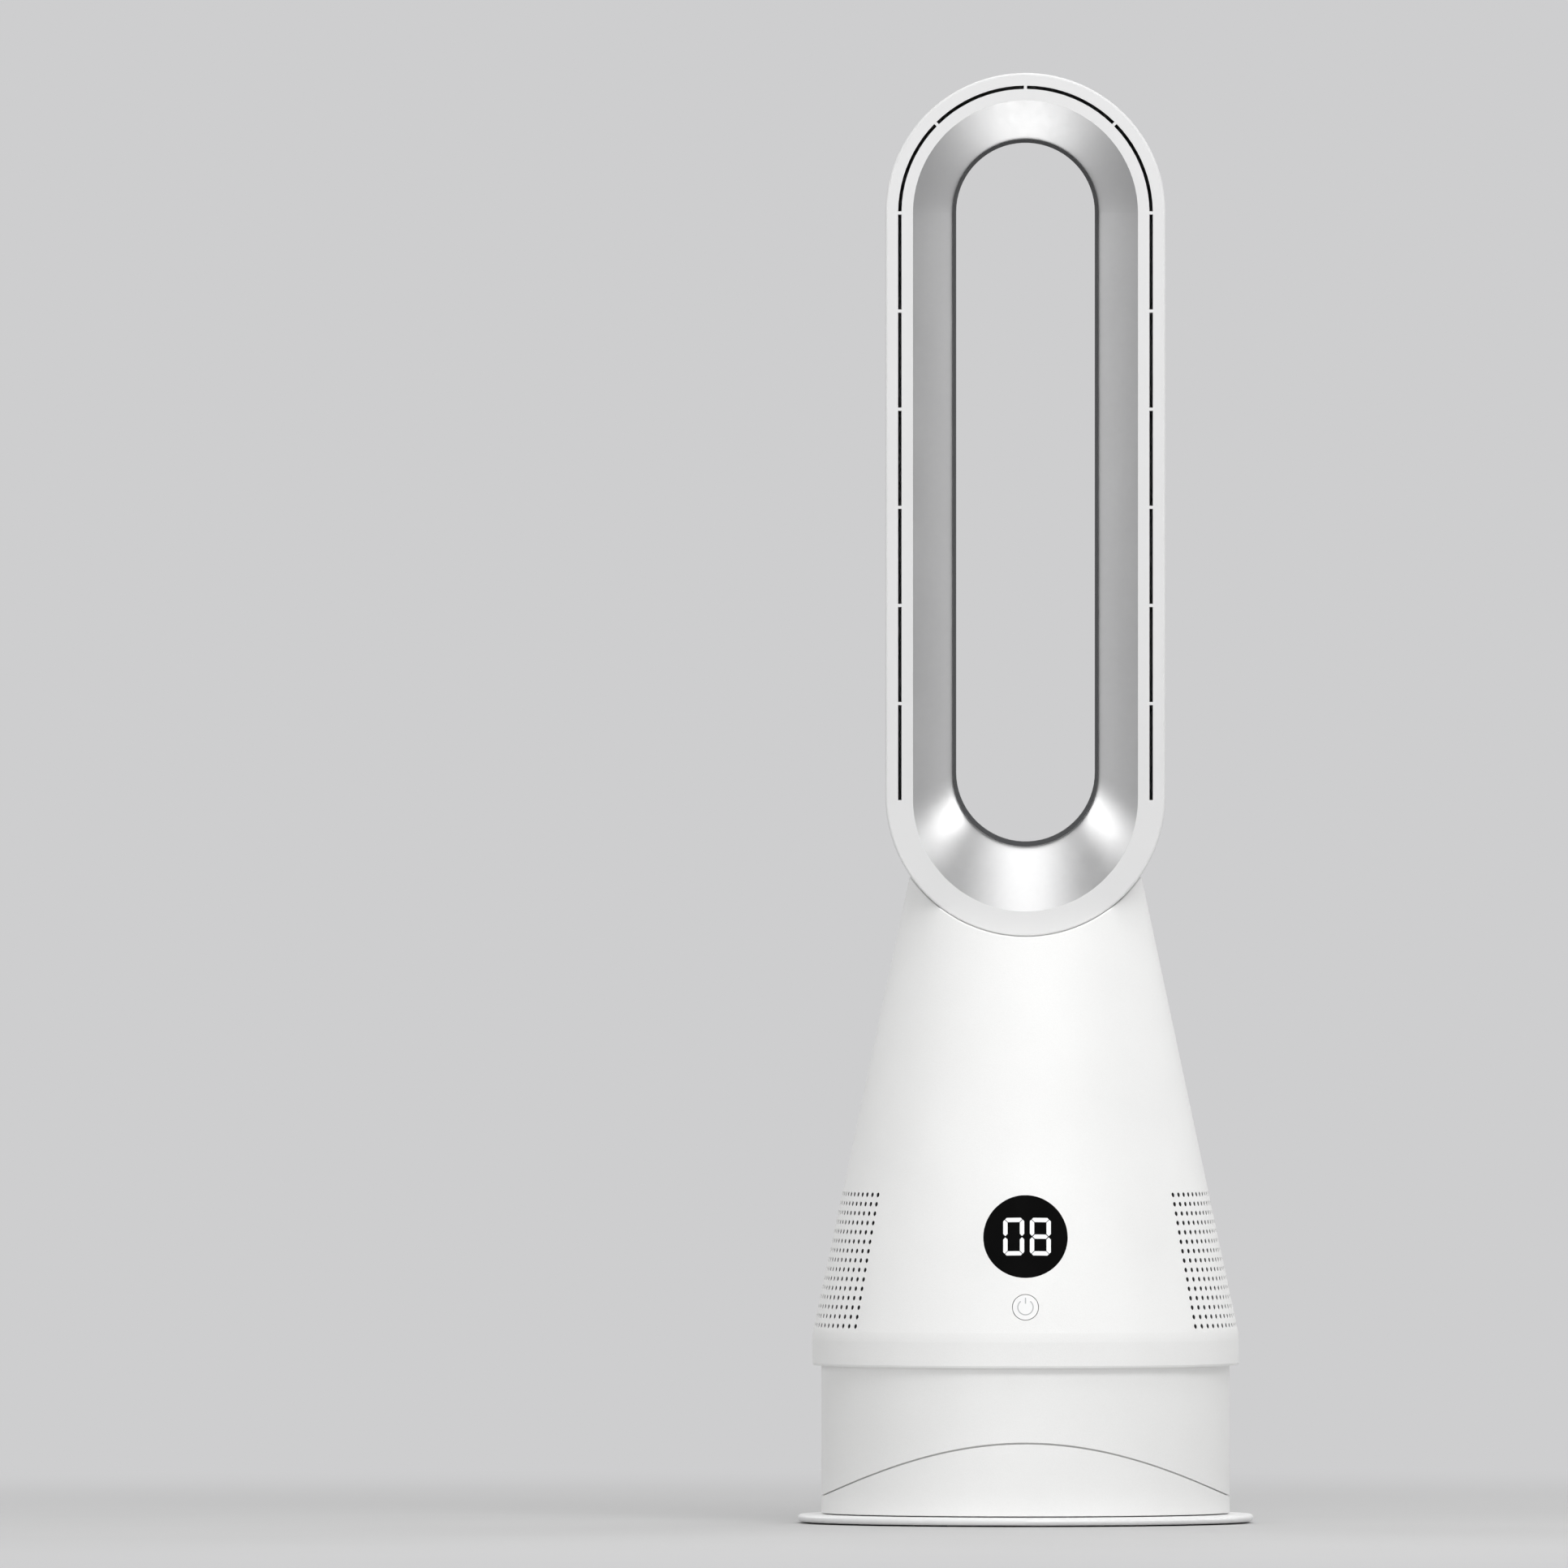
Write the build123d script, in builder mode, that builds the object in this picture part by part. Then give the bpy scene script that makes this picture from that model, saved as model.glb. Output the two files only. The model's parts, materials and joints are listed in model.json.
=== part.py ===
from build123d import *
import os
from math import acos, cos, degrees, pi, radians, sin, sqrt, tan

# Bladeless tower fan, millimetres, +Z up, front towards -Y.
# The origin is on the fan's axis, where the rubber pads meet the table.
os.makedirs("parts", exist_ok=True)

# ---------------------------------------------------------------- driving dimensions
wall = 2.5                   # moulded wall of the white housings
thin_wall = 2.0              # inner plastic ducts
seat_gap = 0.05              # radial clearance where one fixed piece sits in another
run_gap = 0.05               # radial clearance of a shaft that turns in a bearing
free_gap = 0.5               # clearance between pieces that move past each other
overcut = 1.0                # how far a cutting solid reaches past the wall it cuts

# foot
foot_radius = 125.0
foot_thickness = 4.2
foot_edge_land = 0.2         # flat left at the middle of the rounded edge
pad_stand = 0.8              # how far the pads hold the plate off the table
pad_depth = 1.2              # how deep the pads sit in the plate
pad_radius = 9.0
pad_circle = 104.0
pad_count = 6
pad_rounding = 0.3

# oscillating base
base_radius = 112.1
skirt_gap = 0.6              # between the foot plate and the base above it
floor_thickness = 2.2
floor_lift = 3.6             # room under the base floor for the gear
skirt_rounding = 0.5
base_screw_reach = 9.0
ballast_gap = 4.13           # between the ballast and the bosses behind it
ballast_side = 2.3           # how far the ballast reaches sideways past the rear screws
ballast_thickness = 7.5
ballast_screw_x = 40.0
ballast_screw_inset = 14.0   # from the ballast's front edge to the screws in it
ballast_chamfer = 1.0
inlet_height_above = 26.5
inlet_barrel_radius = 5.5
inlet_bore_radius = 2.8
inlet_pin_radius = 1.0
inlet_bore_depth = 9.0
inlet_length = 14.0
inlet_recess = 0.6
inlet_seat_sag = 0.4
inlet_block = 13.0
inlet_block_corner = 1.5

# spindle that the base turns on
spindle_radius = 8.0
spindle_bore = 4.0
spindle_flange_radius = 17.0
spindle_flange_thickness = 1.5
spindle_screw_inset = 4.0    # from the flange's edge to the screws in it
flange_gap = 0.4             # between the spindle's flange and the hub above it
bush_wall = 2.0
hub_wall = 5.0
clip_thickness = 0.8
clip_width = 3.5
clip_groove = 1.0            # depth of the clip's groove in the spindle
clip_gap = 0.1               # between the base floor and the clip above it
clip_land = 0.2              # left of the spindle above the clip
clip_mouth = 5.0
glide_gap = 0.1              # between the glide ring and the base floor above it
glide_inner_radius = 38.0
glide_outer_radius = 46.0

# oscillation gears
gear_module = 1.5
fixed_teeth = 100
oscillation_swing = 45.0     # degrees each way
spare_teeth = 4.5            # of the toothed sector beyond the swing, at each end
pinion_teeth = 18
pressure_angle = radians(20.0)
tooth_thinning = 0.12        # taken off each tooth for backlash
gear_thickness = 3.0
gear_rim = 7.0
pinion_lift = 0.3            # between the foot plate and the pinion
pinion_shaft_radius = 2.5
pinion_shaft_bite = 9.1      # length of the pinion's shaft inside the gear motor
shaft_hole_clearance = 1.5
gear_motor_radius = 14.0
gear_motor_height = 13.0
gear_motor_rounding = 0.8
ear_reach = 18.0             # from the gear motor's middle to the screw in its ear
ear_half_width = 3.5
ear_thickness = 1.0

# tilt: a saddle, round about an axis along X
saddle_radius = 220.4
saddle_low = 15.0            # height of the saddle's lowest point
saddle_gap = 0.9
tilt_swing = 10.0            # degrees each way
hook_x = 60.0
hook_neck = 8.0
hook_foot = 14.0
hook_thickness = 1.6
hook_half_angle = 3.1
hook_screw_y = 6.0
hook_screw_bite = 5.0
hook_screw_lift = 0.2        # of the screw heads above the shell
hook_window_side = 2.0       # free room beside the hooks in the base floor
hook_window_end = 1.5
hook_slot_spare = 0.6        # degrees beyond the tilt
cable_slot_spare = 2.5       # degrees beyond the tilt
pocket_spare = 0.02          # degrees round a friction pad
head_boss_length = 14.0
head_screw_reach = 11.0
friction_x = 80.0
friction_width = 12.0
friction_angle = 4.7         # degrees about the tilt axis, each side of the middle
friction_half_angle = 1.5
friction_depth = 1.0
friction_clearance = 0.25
cable_slot_width = 18.0
cable_hole_radius = 5.0

# cone housing
collar_radius = 117.1
collar_bottom = 86.8
collar_top = 103.5
collar_bevel_in = 0.6
collar_bevel_up = 1.2
cone_angle = radians(12.0)
crease_rounding = 25.0       # where the collar turns into the cone
lap = 6.2                    # how far the collar laps over the shell below it

# air ring
ring_radius = 76.8
ring_depth = 97.0
ring_low = 399.3             # height of the lower arc's centre
ring_high = 719.2            # height of the upper arc's centre
face_thickness = 2.2
face_inner_radius = 61.7
face_inner_low = 397.8
ring_wall = 2.4
back_rounding = 14.0
liner_back_radius = 39.7
liner_back_low = 411.0
liner_back_high = 719.7
throat_radius = 38.1
throat_low = 411.9
throat_length = 34.5
cradle_gap = 0.15            # between the air ring and the housing that holds it
cradle_wall = 2.2
lip_rounding = 0.8           # of the cone's edge where it meets the air ring
ring_screw_angle = 42.0      # degrees round the lower arc from straight down
ring_screw_y = 26.0
ring_boss_length = 6.0
face_rounding = 1.3
nozzle_half_width = 3.5      # of the dark frame behind the slots
nozzle_depth = 8.0
nozzle_flare = 0.8           # how much wider its channels are than the slots
neck_half_width = 40.0
neck_half_depth = 36.0
neck_corner = 8.0
slot_radius = 68.9           # centre line of the air slots
slot_width = 1.9
slot_rib = 1.7
slots_low = 396.4            # where the ribs below the lowest slots would have their middle
slots_each_side = 6
slots_over_top = 4

# intake
intake_low = 109.0
intake_row_pitch = 5.14
intake_rows = 15
intake_columns = 25
intake_column_step = 3.04    # degrees
hole_radius = 1.32
intake_margin = 2.6          # of the panel round its outer holes

# controls on the front
display_radius = 23.1
lens_thickness = 1.8
digit_height = 21.0
digit_width = 11.5
digit_stroke = 2.4
digit_gap = 0.35             # between the bars of a digit
digit_bevel = 1.9            # cut off a digit's outer corners
digit_centres = (-6.45, 8.15)
digit_depth = 0.6
button_rise = 16.7           # of the button's middle above the collar
button_radius = 6.95
button_gap = 0.4
button_travel = 0.8
button_flange_radius = 8.7
button_flange_depth = 3.3
button_flange_thickness = 1.0
button_stem_depth = 5.5
button_stem_radius = 2.0
switch_width = 6.0
plunger_radius = 1.6
plunger_rise = 1.5           # of the switch's plunger above its body
plunger_gap = 0.1            # left above the plunger when the button is pressed
control_gap = 0.9            # between the display's frame and the button's guide
lamp_width = 26.0
lamp_height = 24.0
lamp_depth = 3.3
frame_lip = 3.4
frame_inset = 1.1
board_drop = 14.0            # of the board's middle below the display's
board_depth = 11.4           # from the cone's surface to the board's face
board_thickness = 1.6
board_width = 56.0
board_length = 84.0
board_corner = 2.0
board_screw_inset = 4.0
post_radius = 3.4
post_screw_reach = 6.5

# fan motor and impeller
housing_floor = 188.0
housing_flange = 2.5
lug_circle = 88.0
lug_width = 8.0
lug_height = 12.0
seal_width = 1.3
seal_seat = 0.3              # left between the soft seal and the cone's wall
vane_seat = 0.1              # between the vanes and the housing round them
bearing_radius = 8.0
bearing_height = 5.0
rotor_radius = 16.0
tip_gap = 0.8
intake_mouth_radius = 50.0
mouth_slope = 4.0            # how much wider the housing is above its flange
belly_radius = 64.2          # widest part of the duct, beside the pod's floor
outlet_radius = 62.4
impeller_rise = 4.0          # of the impeller above the housing's flange
impeller_height = 46.0
impeller_gap = 1.5           # between the impeller and the pod above it
nose_radius = 9.0
nose_height = 4.0
nose_flare = 4.0
hub_rim_height = 4.0
hub_wall_thickness = 2.5
hub_core_radius = 8.0
hub_core_height = 10.5
blade_count = 9
blade_thickness = 1.8
blade_root = 10.0
blade_middle = 36.0
blade_bow = 14.0             # sideways, at the blade's middle
blade_lean = 6.0             # sideways, at the blade's tip
vane_count = 7
vane_rise = 16.0             # of the vanes above the pod's floor
vane_drop = 2.0              # of the vanes below the pod's top
vane_bite = 1.0              # how far the vanes sink into the pod
pod_radius = 40.0
pod_height = 44.0
pod_to_outlet = 7.0          # from the pod's top to the duct's outlet
shaft_hole_gap = 1.0
motor_radius = 30.0
motor_lift = 4.0             # of the motor above the pod's floor
motor_height = 33.0
sleeve_lip = 8.0
sleeve_reach = 16.0          # of the sleeve up the motor
can_wall = 1.5
bearing_wall = 2.0
stator_gap = 1.0             # between the stator and the bearings
stator_ring = 4.0
pole_count = 9
pole_width = 6.0
pole_clearance = 3.0         # how far the poles reach into the ring
cap_gap = 0.2
cap_shoulder = 4.0
cap_shoulder_height = 6.0
cap_crown_height = 12.0
cap_height = 14.0
shaft_radius = 4.0
shaft_above = 3.0            # length of the shaft above the motor
nut_size = 7.0
nut_grip = 1.0               # length of the shaft below the nut
shaft_below = 2.5            # length of the shaft below the housing's flange top
neck_transition = 22.0
neck_clearance = 1.0         # round the opening in the cradle

# fasteners
screw_radius = 1.5
screw_head_radius = 2.9
screw_head_height = 1.8
boss_radius = 4.2
boss_merge = 0.63            # how far a boss sinks into the wall beside it
tip_clearance = 1.0          # between a screw's tip and the bottom of its hole
lug_floor = 2.0              # left below the screw holes in the lugs

# ---------------------------------------------------------------- sizes worked out
foot_top = pad_stand + foot_thickness
skirt_bottom = foot_top + skirt_gap
floor_bottom = foot_top + floor_lift
floor_top = floor_bottom + floor_thickness
base_bore = base_radius - wall
tilt_height = saddle_low + saddle_radius
lower_saddle = saddle_radius + saddle_gap / 2     # surface of the oscillating base
upper_saddle = saddle_radius - saddle_gap / 2     # surface of the tilting head
fixed_pitch = gear_module * fixed_teeth / 2
pinion_pitch = gear_module * pinion_teeth / 2
pinion_y = -(fixed_pitch + pinion_pitch)
pinion_bottom = foot_top + pinion_lift
hub_bottom = foot_top + spindle_flange_thickness + flange_gap
clip_bottom = floor_top + clip_gap
spindle_screw_circle = spindle_flange_radius - spindle_screw_inset
base_boss_circle = base_bore - boss_radius + boss_merge
ballast_radius = base_boss_circle - boss_radius - ballast_gap
ballast_front_y = sqrt(ballast_radius**2 - (base_boss_circle * sin(radians(45)) + ballast_side) ** 2)
ballast_screw_y = ballast_front_y + ballast_screw_inset
window_half_length = (lower_saddle + wall) * sin(radians(tilt_swing + hook_half_angle)) + hook_window_end
lap_top = collar_bottom + lap
ring_front_y = -ring_depth / 2
ring_back_y = ring_depth / 2
face_back_y = ring_front_y + face_thickness
throat_front_y = ring_back_y - throat_length
guide_radius = button_flange_radius + free_gap
button_height = collar_top + button_rise
display_height = button_height + guide_radius + thin_wall + control_gap + frame_lip + display_radius
board_middle = display_height - board_drop
board_screw_x = board_width / 2 - board_screw_inset
board_screw_y = board_length / 2 - board_screw_inset
board_screw_places = [
    (x, y) for x in (-board_screw_x, board_screw_x) for y in (-board_screw_y, board_screw_y)
]
hook_screw_places = [(x, y) for x in (-hook_x, hook_x) for y in (-hook_screw_y, hook_screw_y)]
hook_screw_seat = tilt_height - upper_saddle + wall + hook_screw_lift
slope = tan(cone_angle)


def cone_radius(height, inset=0.0):
    """Outer radius of the cone at a height, less a wall measured square to its slope."""
    return collar_radius - slope * (height - collar_top) - inset / cos(cone_angle)


def facing(y):
    """Plane that looks out of the front at depth y, with X to the right and Z up."""
    return Plane.XZ.offset(-y)


def on_cone(height, depth=0.0):
    """Plane that touches the front of the cone at a height, sunk square to it by a depth."""
    touch = Plane(
        origin=(0, -cone_radius(height), height),
        x_dir=(1, 0, 0),
        z_dir=(0, -cos(cone_angle), sin(cone_angle)),
    )
    return touch.offset(-depth)


def stadium(radius, low, high, mode=Mode.ADD):
    """Two half circles joined by straight sides, drawn in the open sketch."""
    with Locations((0, (low + high) / 2)):
        SlotCenterToCenter(high - low, 2 * radius, rotation=90, mode=mode)


def ring_screw_plane(angle, y):
    """Plane square to a screw that points to the lower arc's centre, at the cradle's outside."""
    out = (sin(radians(angle)), 0, -cos(radians(angle)))
    reach = ring_radius + cradle_gap + cradle_wall
    return Plane(origin=(reach * out[0], y, ring_low + reach * out[2]), z_dir=out)


def outline(*points):
    """Closed straight-sided outline as a sketch."""
    with BuildSketch() as sketch:
        with BuildLine():
            Polyline(*points, close=True)
        make_face()
    return sketch.sketch


def skin(inset_out, inset_in, low, high):
    """Section of a layer that lies between two insets under the cone's surface."""
    return outline(
        (cone_radius(low, inset_out), low),
        (cone_radius(high, inset_out), high),
        (cone_radius(high, inset_in), high),
        (cone_radius(low, inset_in), low),
    )


def turned(sketch):
    """Solid of revolution about Z of a section drawn as radius and height."""
    with BuildPart() as solid:
        with BuildSketch(Plane.XZ):
            add(sketch)
        revolve(axis=Axis.Z)
    return solid.part


def save(part, name):
    part.label = name
    export_step(part, f"parts/{name}.step")


ring_screw_planes = [
    ring_screw_plane(angle, y)
    for angle in (-ring_screw_angle, ring_screw_angle)
    for y in (-ring_screw_y, ring_screw_y)
]


# ---------------------------------------------------------------- foot
with BuildPart() as foot_plate:
    with BuildSketch(Plane.XY.offset(pad_stand)):
        Circle(foot_radius)
    extrude(amount=foot_thickness)
    fillet(foot_plate.edges(), radius=(foot_thickness - foot_edge_land) / 2)
    with BuildSketch(Plane.XY.offset(pad_stand)):
        with PolarLocations(pad_circle, pad_count):
            Circle(pad_radius + seat_gap)
    extrude(amount=pad_depth, mode=Mode.SUBTRACT)
    with BuildSketch(Plane.XY.offset(pad_stand)):
        with PolarLocations(spindle_screw_circle, 3):
            Circle(screw_radius + seat_gap)
    extrude(amount=foot_thickness, mode=Mode.SUBTRACT)
    with BuildSketch(Plane.XY.offset(pad_stand)):
        with PolarLocations(spindle_screw_circle, 3):
            Circle(screw_head_radius + seat_gap)
    extrude(amount=screw_head_height + seat_gap, mode=Mode.SUBTRACT)
save(foot_plate.part, "foot_plate")

with BuildPart() as foot_pads:
    with BuildSketch():
        with PolarLocations(pad_circle, pad_count):
            Circle(pad_radius)
    extrude(amount=pad_stand + pad_depth)
    fillet(foot_pads.edges().group_by(Axis.Z)[0], radius=pad_rounding)
save(foot_pads.part, "foot_pads")

spindle_top = clip_bottom + clip_thickness + clip_land
with BuildPart() as spindle:
    with BuildSketch(Plane.XY.offset(foot_top)):
        Circle(spindle_flange_radius)
    extrude(amount=spindle_flange_thickness)
    with BuildSketch(Plane.XY.offset(foot_top)):
        Circle(spindle_radius)
    extrude(amount=spindle_top - foot_top)
    with BuildSketch(Plane.XY.offset(foot_top)):
        Circle(spindle_bore)
    extrude(amount=spindle_top - foot_top, mode=Mode.SUBTRACT)
    with BuildSketch(Plane.XY.offset(foot_top)):
        with PolarLocations(spindle_screw_circle, 3):
            Circle(screw_radius - seat_gap)
    extrude(amount=spindle_flange_thickness, mode=Mode.SUBTRACT)
    with BuildSketch(Plane.XY.offset(clip_bottom)):
        Circle(spindle_radius)
        Circle(spindle_radius - clip_groove, mode=Mode.SUBTRACT)
    extrude(amount=clip_thickness, mode=Mode.SUBTRACT)
save(spindle.part, "spindle")

with BuildPart() as spindle_clip:
    with BuildSketch(Plane.XY.offset(clip_bottom)):
        Circle(spindle_radius - clip_groove + clip_width)
        Circle(spindle_radius - clip_groove, mode=Mode.SUBTRACT)
        with Locations((0, -spindle_radius)):
            Rectangle(clip_mouth, 2 * (clip_width + clip_groove), mode=Mode.SUBTRACT)
    extrude(amount=clip_thickness)
save(spindle_clip.part, "spindle_clip")

with BuildPart() as spindle_screws:
    with BuildSketch(Plane.XY.offset(pad_stand)):
        with PolarLocations(spindle_screw_circle, 3):
            Circle(screw_head_radius)
    extrude(amount=screw_head_height)
    with BuildSketch(Plane.XY.offset(pad_stand)):
        with PolarLocations(spindle_screw_circle, 3):
            Circle(screw_radius - 2 * seat_gap)
    extrude(amount=foot_thickness + spindle_flange_thickness)
save(spindle_screws.part, "spindle_screws")

with BuildPart() as glide_ring:
    with BuildSketch(Plane.XY.offset(foot_top)):
        Circle(glide_outer_radius)
        Circle(glide_inner_radius, mode=Mode.SUBTRACT)
    extrude(amount=floor_lift - glide_gap)
save(glide_ring.part, "glide_ring")


# ---------------------------------------------------------------- oscillation gears
def tooth(teeth):
    """One involute tooth that points along +X, as a sketch."""
    pitch = gear_module * teeth / 2
    base = pitch * cos(pressure_angle)
    root = pitch - 1.25 * gear_module
    tip = pitch + gear_module
    start = max(base, root)
    at_pitch = pi / (2 * teeth) - tooth_thinning / (2 * pitch)

    def flank(radius, side):
        turn = acos(min(1.0, base / radius))
        half = at_pitch + tan(pressure_angle) - pressure_angle - (tan(turn) - turn)
        return (radius * cos(half), side * radius * sin(half))

    steps = [start + (tip - start) * step / 3 for step in range(4)]
    inside = root - 0.5
    low = flank(start, -1)
    high = flank(start, 1)
    with BuildSketch() as sketch:
        with BuildLine():
            Spline(*[flank(radius, -1) for radius in steps])
            ThreePointArc(flank(tip, -1), (tip, 0), flank(tip, 1))
            Spline(*[flank(radius, 1) for radius in reversed(steps)])
            Polyline(high, (inside, high[1]), (inside, low[1]), low)
        make_face()
    return sketch.sketch


def gear_root(teeth):
    return gear_module * teeth / 2 - 1.25 * gear_module


# The sector stays still on the foot. A gap of it faces the pinion at rest.
tooth_angle = 360.0 / fixed_teeth
fixed_teeth_each_side = round(oscillation_swing / tooth_angle + spare_teeth)
sector_half = tooth_angle * (fixed_teeth_each_side + 1)
sector_reach = 3 * fixed_pitch
fixed_tooth = tooth(fixed_teeth)
sector_wedge = outline(
    (0, 0),
    (-sector_reach * sin(radians(sector_half)), -sector_reach * cos(radians(sector_half))),
    (0, -2 * sector_reach),
    (sector_reach * sin(radians(sector_half)), -sector_reach * cos(radians(sector_half))),
)
with BuildPart() as fixed_gear:
    with BuildSketch(Plane.XY.offset(foot_top)):
        Circle(gear_root(fixed_teeth))
        Circle(gear_root(fixed_teeth) - gear_rim, mode=Mode.SUBTRACT)
        add(sector_wedge, mode=Mode.INTERSECT)
        with PolarLocations(
            0,
            2 * fixed_teeth_each_side,
            start_angle=-90 - tooth_angle * (fixed_teeth_each_side - 0.5),
            angular_range=tooth_angle * (2 * fixed_teeth_each_side - 1),
            endpoint=True,
        ):
            add(fixed_tooth)
    extrude(amount=gear_thickness)
save(fixed_gear.part, "fixed_gear")

# A tooth of the pinion points into that gap.
pinion_tooth = tooth(pinion_teeth)
with BuildPart() as drive_pinion:
    with BuildSketch(Plane.XY.offset(pinion_bottom)):
        with Locations((0, pinion_y)):
            Circle(gear_root(pinion_teeth))
            with PolarLocations(0, pinion_teeth, start_angle=90):
                add(pinion_tooth)
            Circle(pinion_shaft_radius + seat_gap / 5, mode=Mode.SUBTRACT)
    extrude(amount=gear_thickness)
save(drive_pinion.part, "drive_pinion")

with BuildPart() as pinion_shaft:
    with BuildSketch(Plane.XY.offset(pinion_bottom)):
        with Locations((0, pinion_y)):
            Circle(pinion_shaft_radius)
    extrude(amount=floor_top + pinion_shaft_bite - pinion_bottom)
save(pinion_shaft.part, "pinion_shaft")


# ---------------------------------------------------------------- oscillating base
tilt_axis = Axis((0, 0, tilt_height), (1, 0, 0))
drum_half_angle = 45.0


def below_tilt_axis(radius, x_from, x_to, half_angle):
    """Solid sector of a drum about the tilt axis, hanging straight down from it."""
    with BuildPart() as drum:
        with BuildSketch(Plane.XZ):
            add(outline((x_from, tilt_height), (x_to, tilt_height),
                        (x_to, tilt_height - radius), (x_from, tilt_height - radius)))
        revolve(axis=tilt_axis, revolution_arc=half_angle)
        mirror(about=Plane.XZ)
    return drum.part


def tilt_layer(inner, outer, x_from, x_to, half_angle):
    """Curved plate between two radii about the tilt axis, hanging straight down from it."""
    with BuildPart() as plate:
        with BuildSketch(Plane.XZ):
            add(outline((x_from, tilt_height - inner), (x_to, tilt_height - inner),
                        (x_to, tilt_height - outer), (x_from, tilt_height - outer)))
        revolve(axis=tilt_axis, revolution_arc=half_angle)
        mirror(about=Plane.XZ)
    return plate.part


slot_half_angle = tilt_swing + hook_half_angle + hook_slot_spare
cable_half_angle = tilt_swing + cable_slot_spare
cut_top = lower_saddle - overcut
cut_bottom = lower_saddle + wall + overcut
hook_slot = hook_neck / 2 + free_gap

with BuildPart() as base_cavity:
    with BuildSketch(Plane.XY.offset(skirt_bottom)):
        Circle(base_bore)
    extrude(amount=collar_bottom)
    add(below_tilt_axis(lower_saddle + wall, -base_radius, base_radius, drum_half_angle), mode=Mode.SUBTRACT)

with BuildPart() as base_shell:
    with BuildSketch(Plane.XY.offset(skirt_bottom)):
        Circle(base_radius)
    extrude(amount=collar_bottom)
    add(base_cavity.part, mode=Mode.SUBTRACT)
    with BuildSketch(Plane.XY.offset(floor_top)):
        with PolarLocations(base_boss_circle, 4, start_angle=45):
            Circle(boss_radius)
    extrude(amount=collar_bottom)
    with BuildSketch(Plane.XY.offset(floor_top)):
        with PolarLocations(base_boss_circle, 4, start_angle=45):
            Circle(screw_radius)
    extrude(amount=base_screw_reach, mode=Mode.SUBTRACT)
    add(below_tilt_axis(lower_saddle, -foot_radius, foot_radius, drum_half_angle), mode=Mode.SUBTRACT)
    for x in (-hook_x, hook_x):
        window = tilt_layer(cut_top, cut_bottom, x - hook_slot, x + hook_slot, slot_half_angle)
        add(window, mode=Mode.SUBTRACT)
        for turn in (-friction_angle, friction_angle):
            x_pad = x * friction_x / hook_x
            pocket = tilt_layer(
                cut_top,
                lower_saddle + friction_depth,
                x_pad - friction_width / 2 - seat_gap,
                x_pad + friction_width / 2 + seat_gap,
                friction_half_angle + pocket_spare,
            )
            add(pocket.rotate(tilt_axis, turn), mode=Mode.SUBTRACT)
    half_slot = cable_slot_width / 2
    add(tilt_layer(cut_top, cut_bottom, -half_slot, half_slot, cable_half_angle), mode=Mode.SUBTRACT)
    with BuildSketch(facing(base_radius + overcut)):
        with Locations((0, inlet_height_above)):
            Circle(inlet_barrel_radius + seat_gap)
    extrude(amount=3 * wall, mode=Mode.SUBTRACT)
    lower_rims = base_shell.edges().filter_by(GeomType.CIRCLE).group_by(Axis.Z)[0]
    fillet(lower_rims.sort_by(SortBy.RADIUS)[-1], radius=skirt_rounding)
save(base_shell.part, "base_shell")

with BuildPart() as friction_pads:
    for x in (-friction_x, friction_x):
        for turn in (-friction_angle, friction_angle):
            pad = tilt_layer(
                upper_saddle + friction_clearance,
                lower_saddle + friction_depth,
                x - friction_width / 2,
                x + friction_width / 2,
                friction_half_angle,
            )
            add(pad.rotate(tilt_axis, turn))
save(friction_pads.part, "friction_pads")

with BuildPart() as turntable:
    with BuildSketch(Plane.XY.offset(floor_bottom)):
        Circle(base_bore - seat_gap)
        with Locations((-hook_x, 0), (hook_x, 0)):
            Rectangle(hook_foot + 2 * hook_window_side, 2 * window_half_length, mode=Mode.SUBTRACT)
        with Locations((0, pinion_y)):
            Circle(pinion_shaft_radius + shaft_hole_clearance, mode=Mode.SUBTRACT)
        with PolarLocations(base_boss_circle, 4, start_angle=45):
            Circle(screw_radius + seat_gap, mode=Mode.SUBTRACT)
        with Locations((-ear_reach, pinion_y), (ear_reach, pinion_y)):
            Circle(screw_radius - seat_gap, mode=Mode.SUBTRACT)
        with Locations((-ballast_screw_x, ballast_screw_y), (ballast_screw_x, ballast_screw_y)):
            Circle(screw_radius + seat_gap, mode=Mode.SUBTRACT)
    extrude(amount=floor_thickness)
    with BuildSketch(Plane.XY.offset(hub_bottom)):
        Circle(spindle_radius + bush_wall + hub_wall)
    extrude(until=Until.NEXT)
    with BuildSketch(Plane.XY.offset(foot_top)):
        Circle(spindle_radius + bush_wall)
    extrude(amount=2 * floor_lift + floor_thickness, mode=Mode.SUBTRACT)
    with BuildSketch(Plane.XY.offset(floor_bottom)):
        with PolarLocations(base_boss_circle, 4, start_angle=45):
            Circle(screw_head_radius + seat_gap)
        with Locations((-ballast_screw_x, ballast_screw_y), (ballast_screw_x, ballast_screw_y)):
            Circle(screw_head_radius + seat_gap)
    extrude(amount=floor_thickness / 2, mode=Mode.SUBTRACT)
save(turntable.part, "turntable")

with BuildPart() as spindle_bush:
    with BuildSketch(Plane.XY.offset(hub_bottom)):
        Circle(spindle_radius + bush_wall)
        Circle(spindle_radius + run_gap, mode=Mode.SUBTRACT)
    extrude(amount=floor_top - hub_bottom)
save(spindle_bush.part, "spindle_bush")

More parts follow.
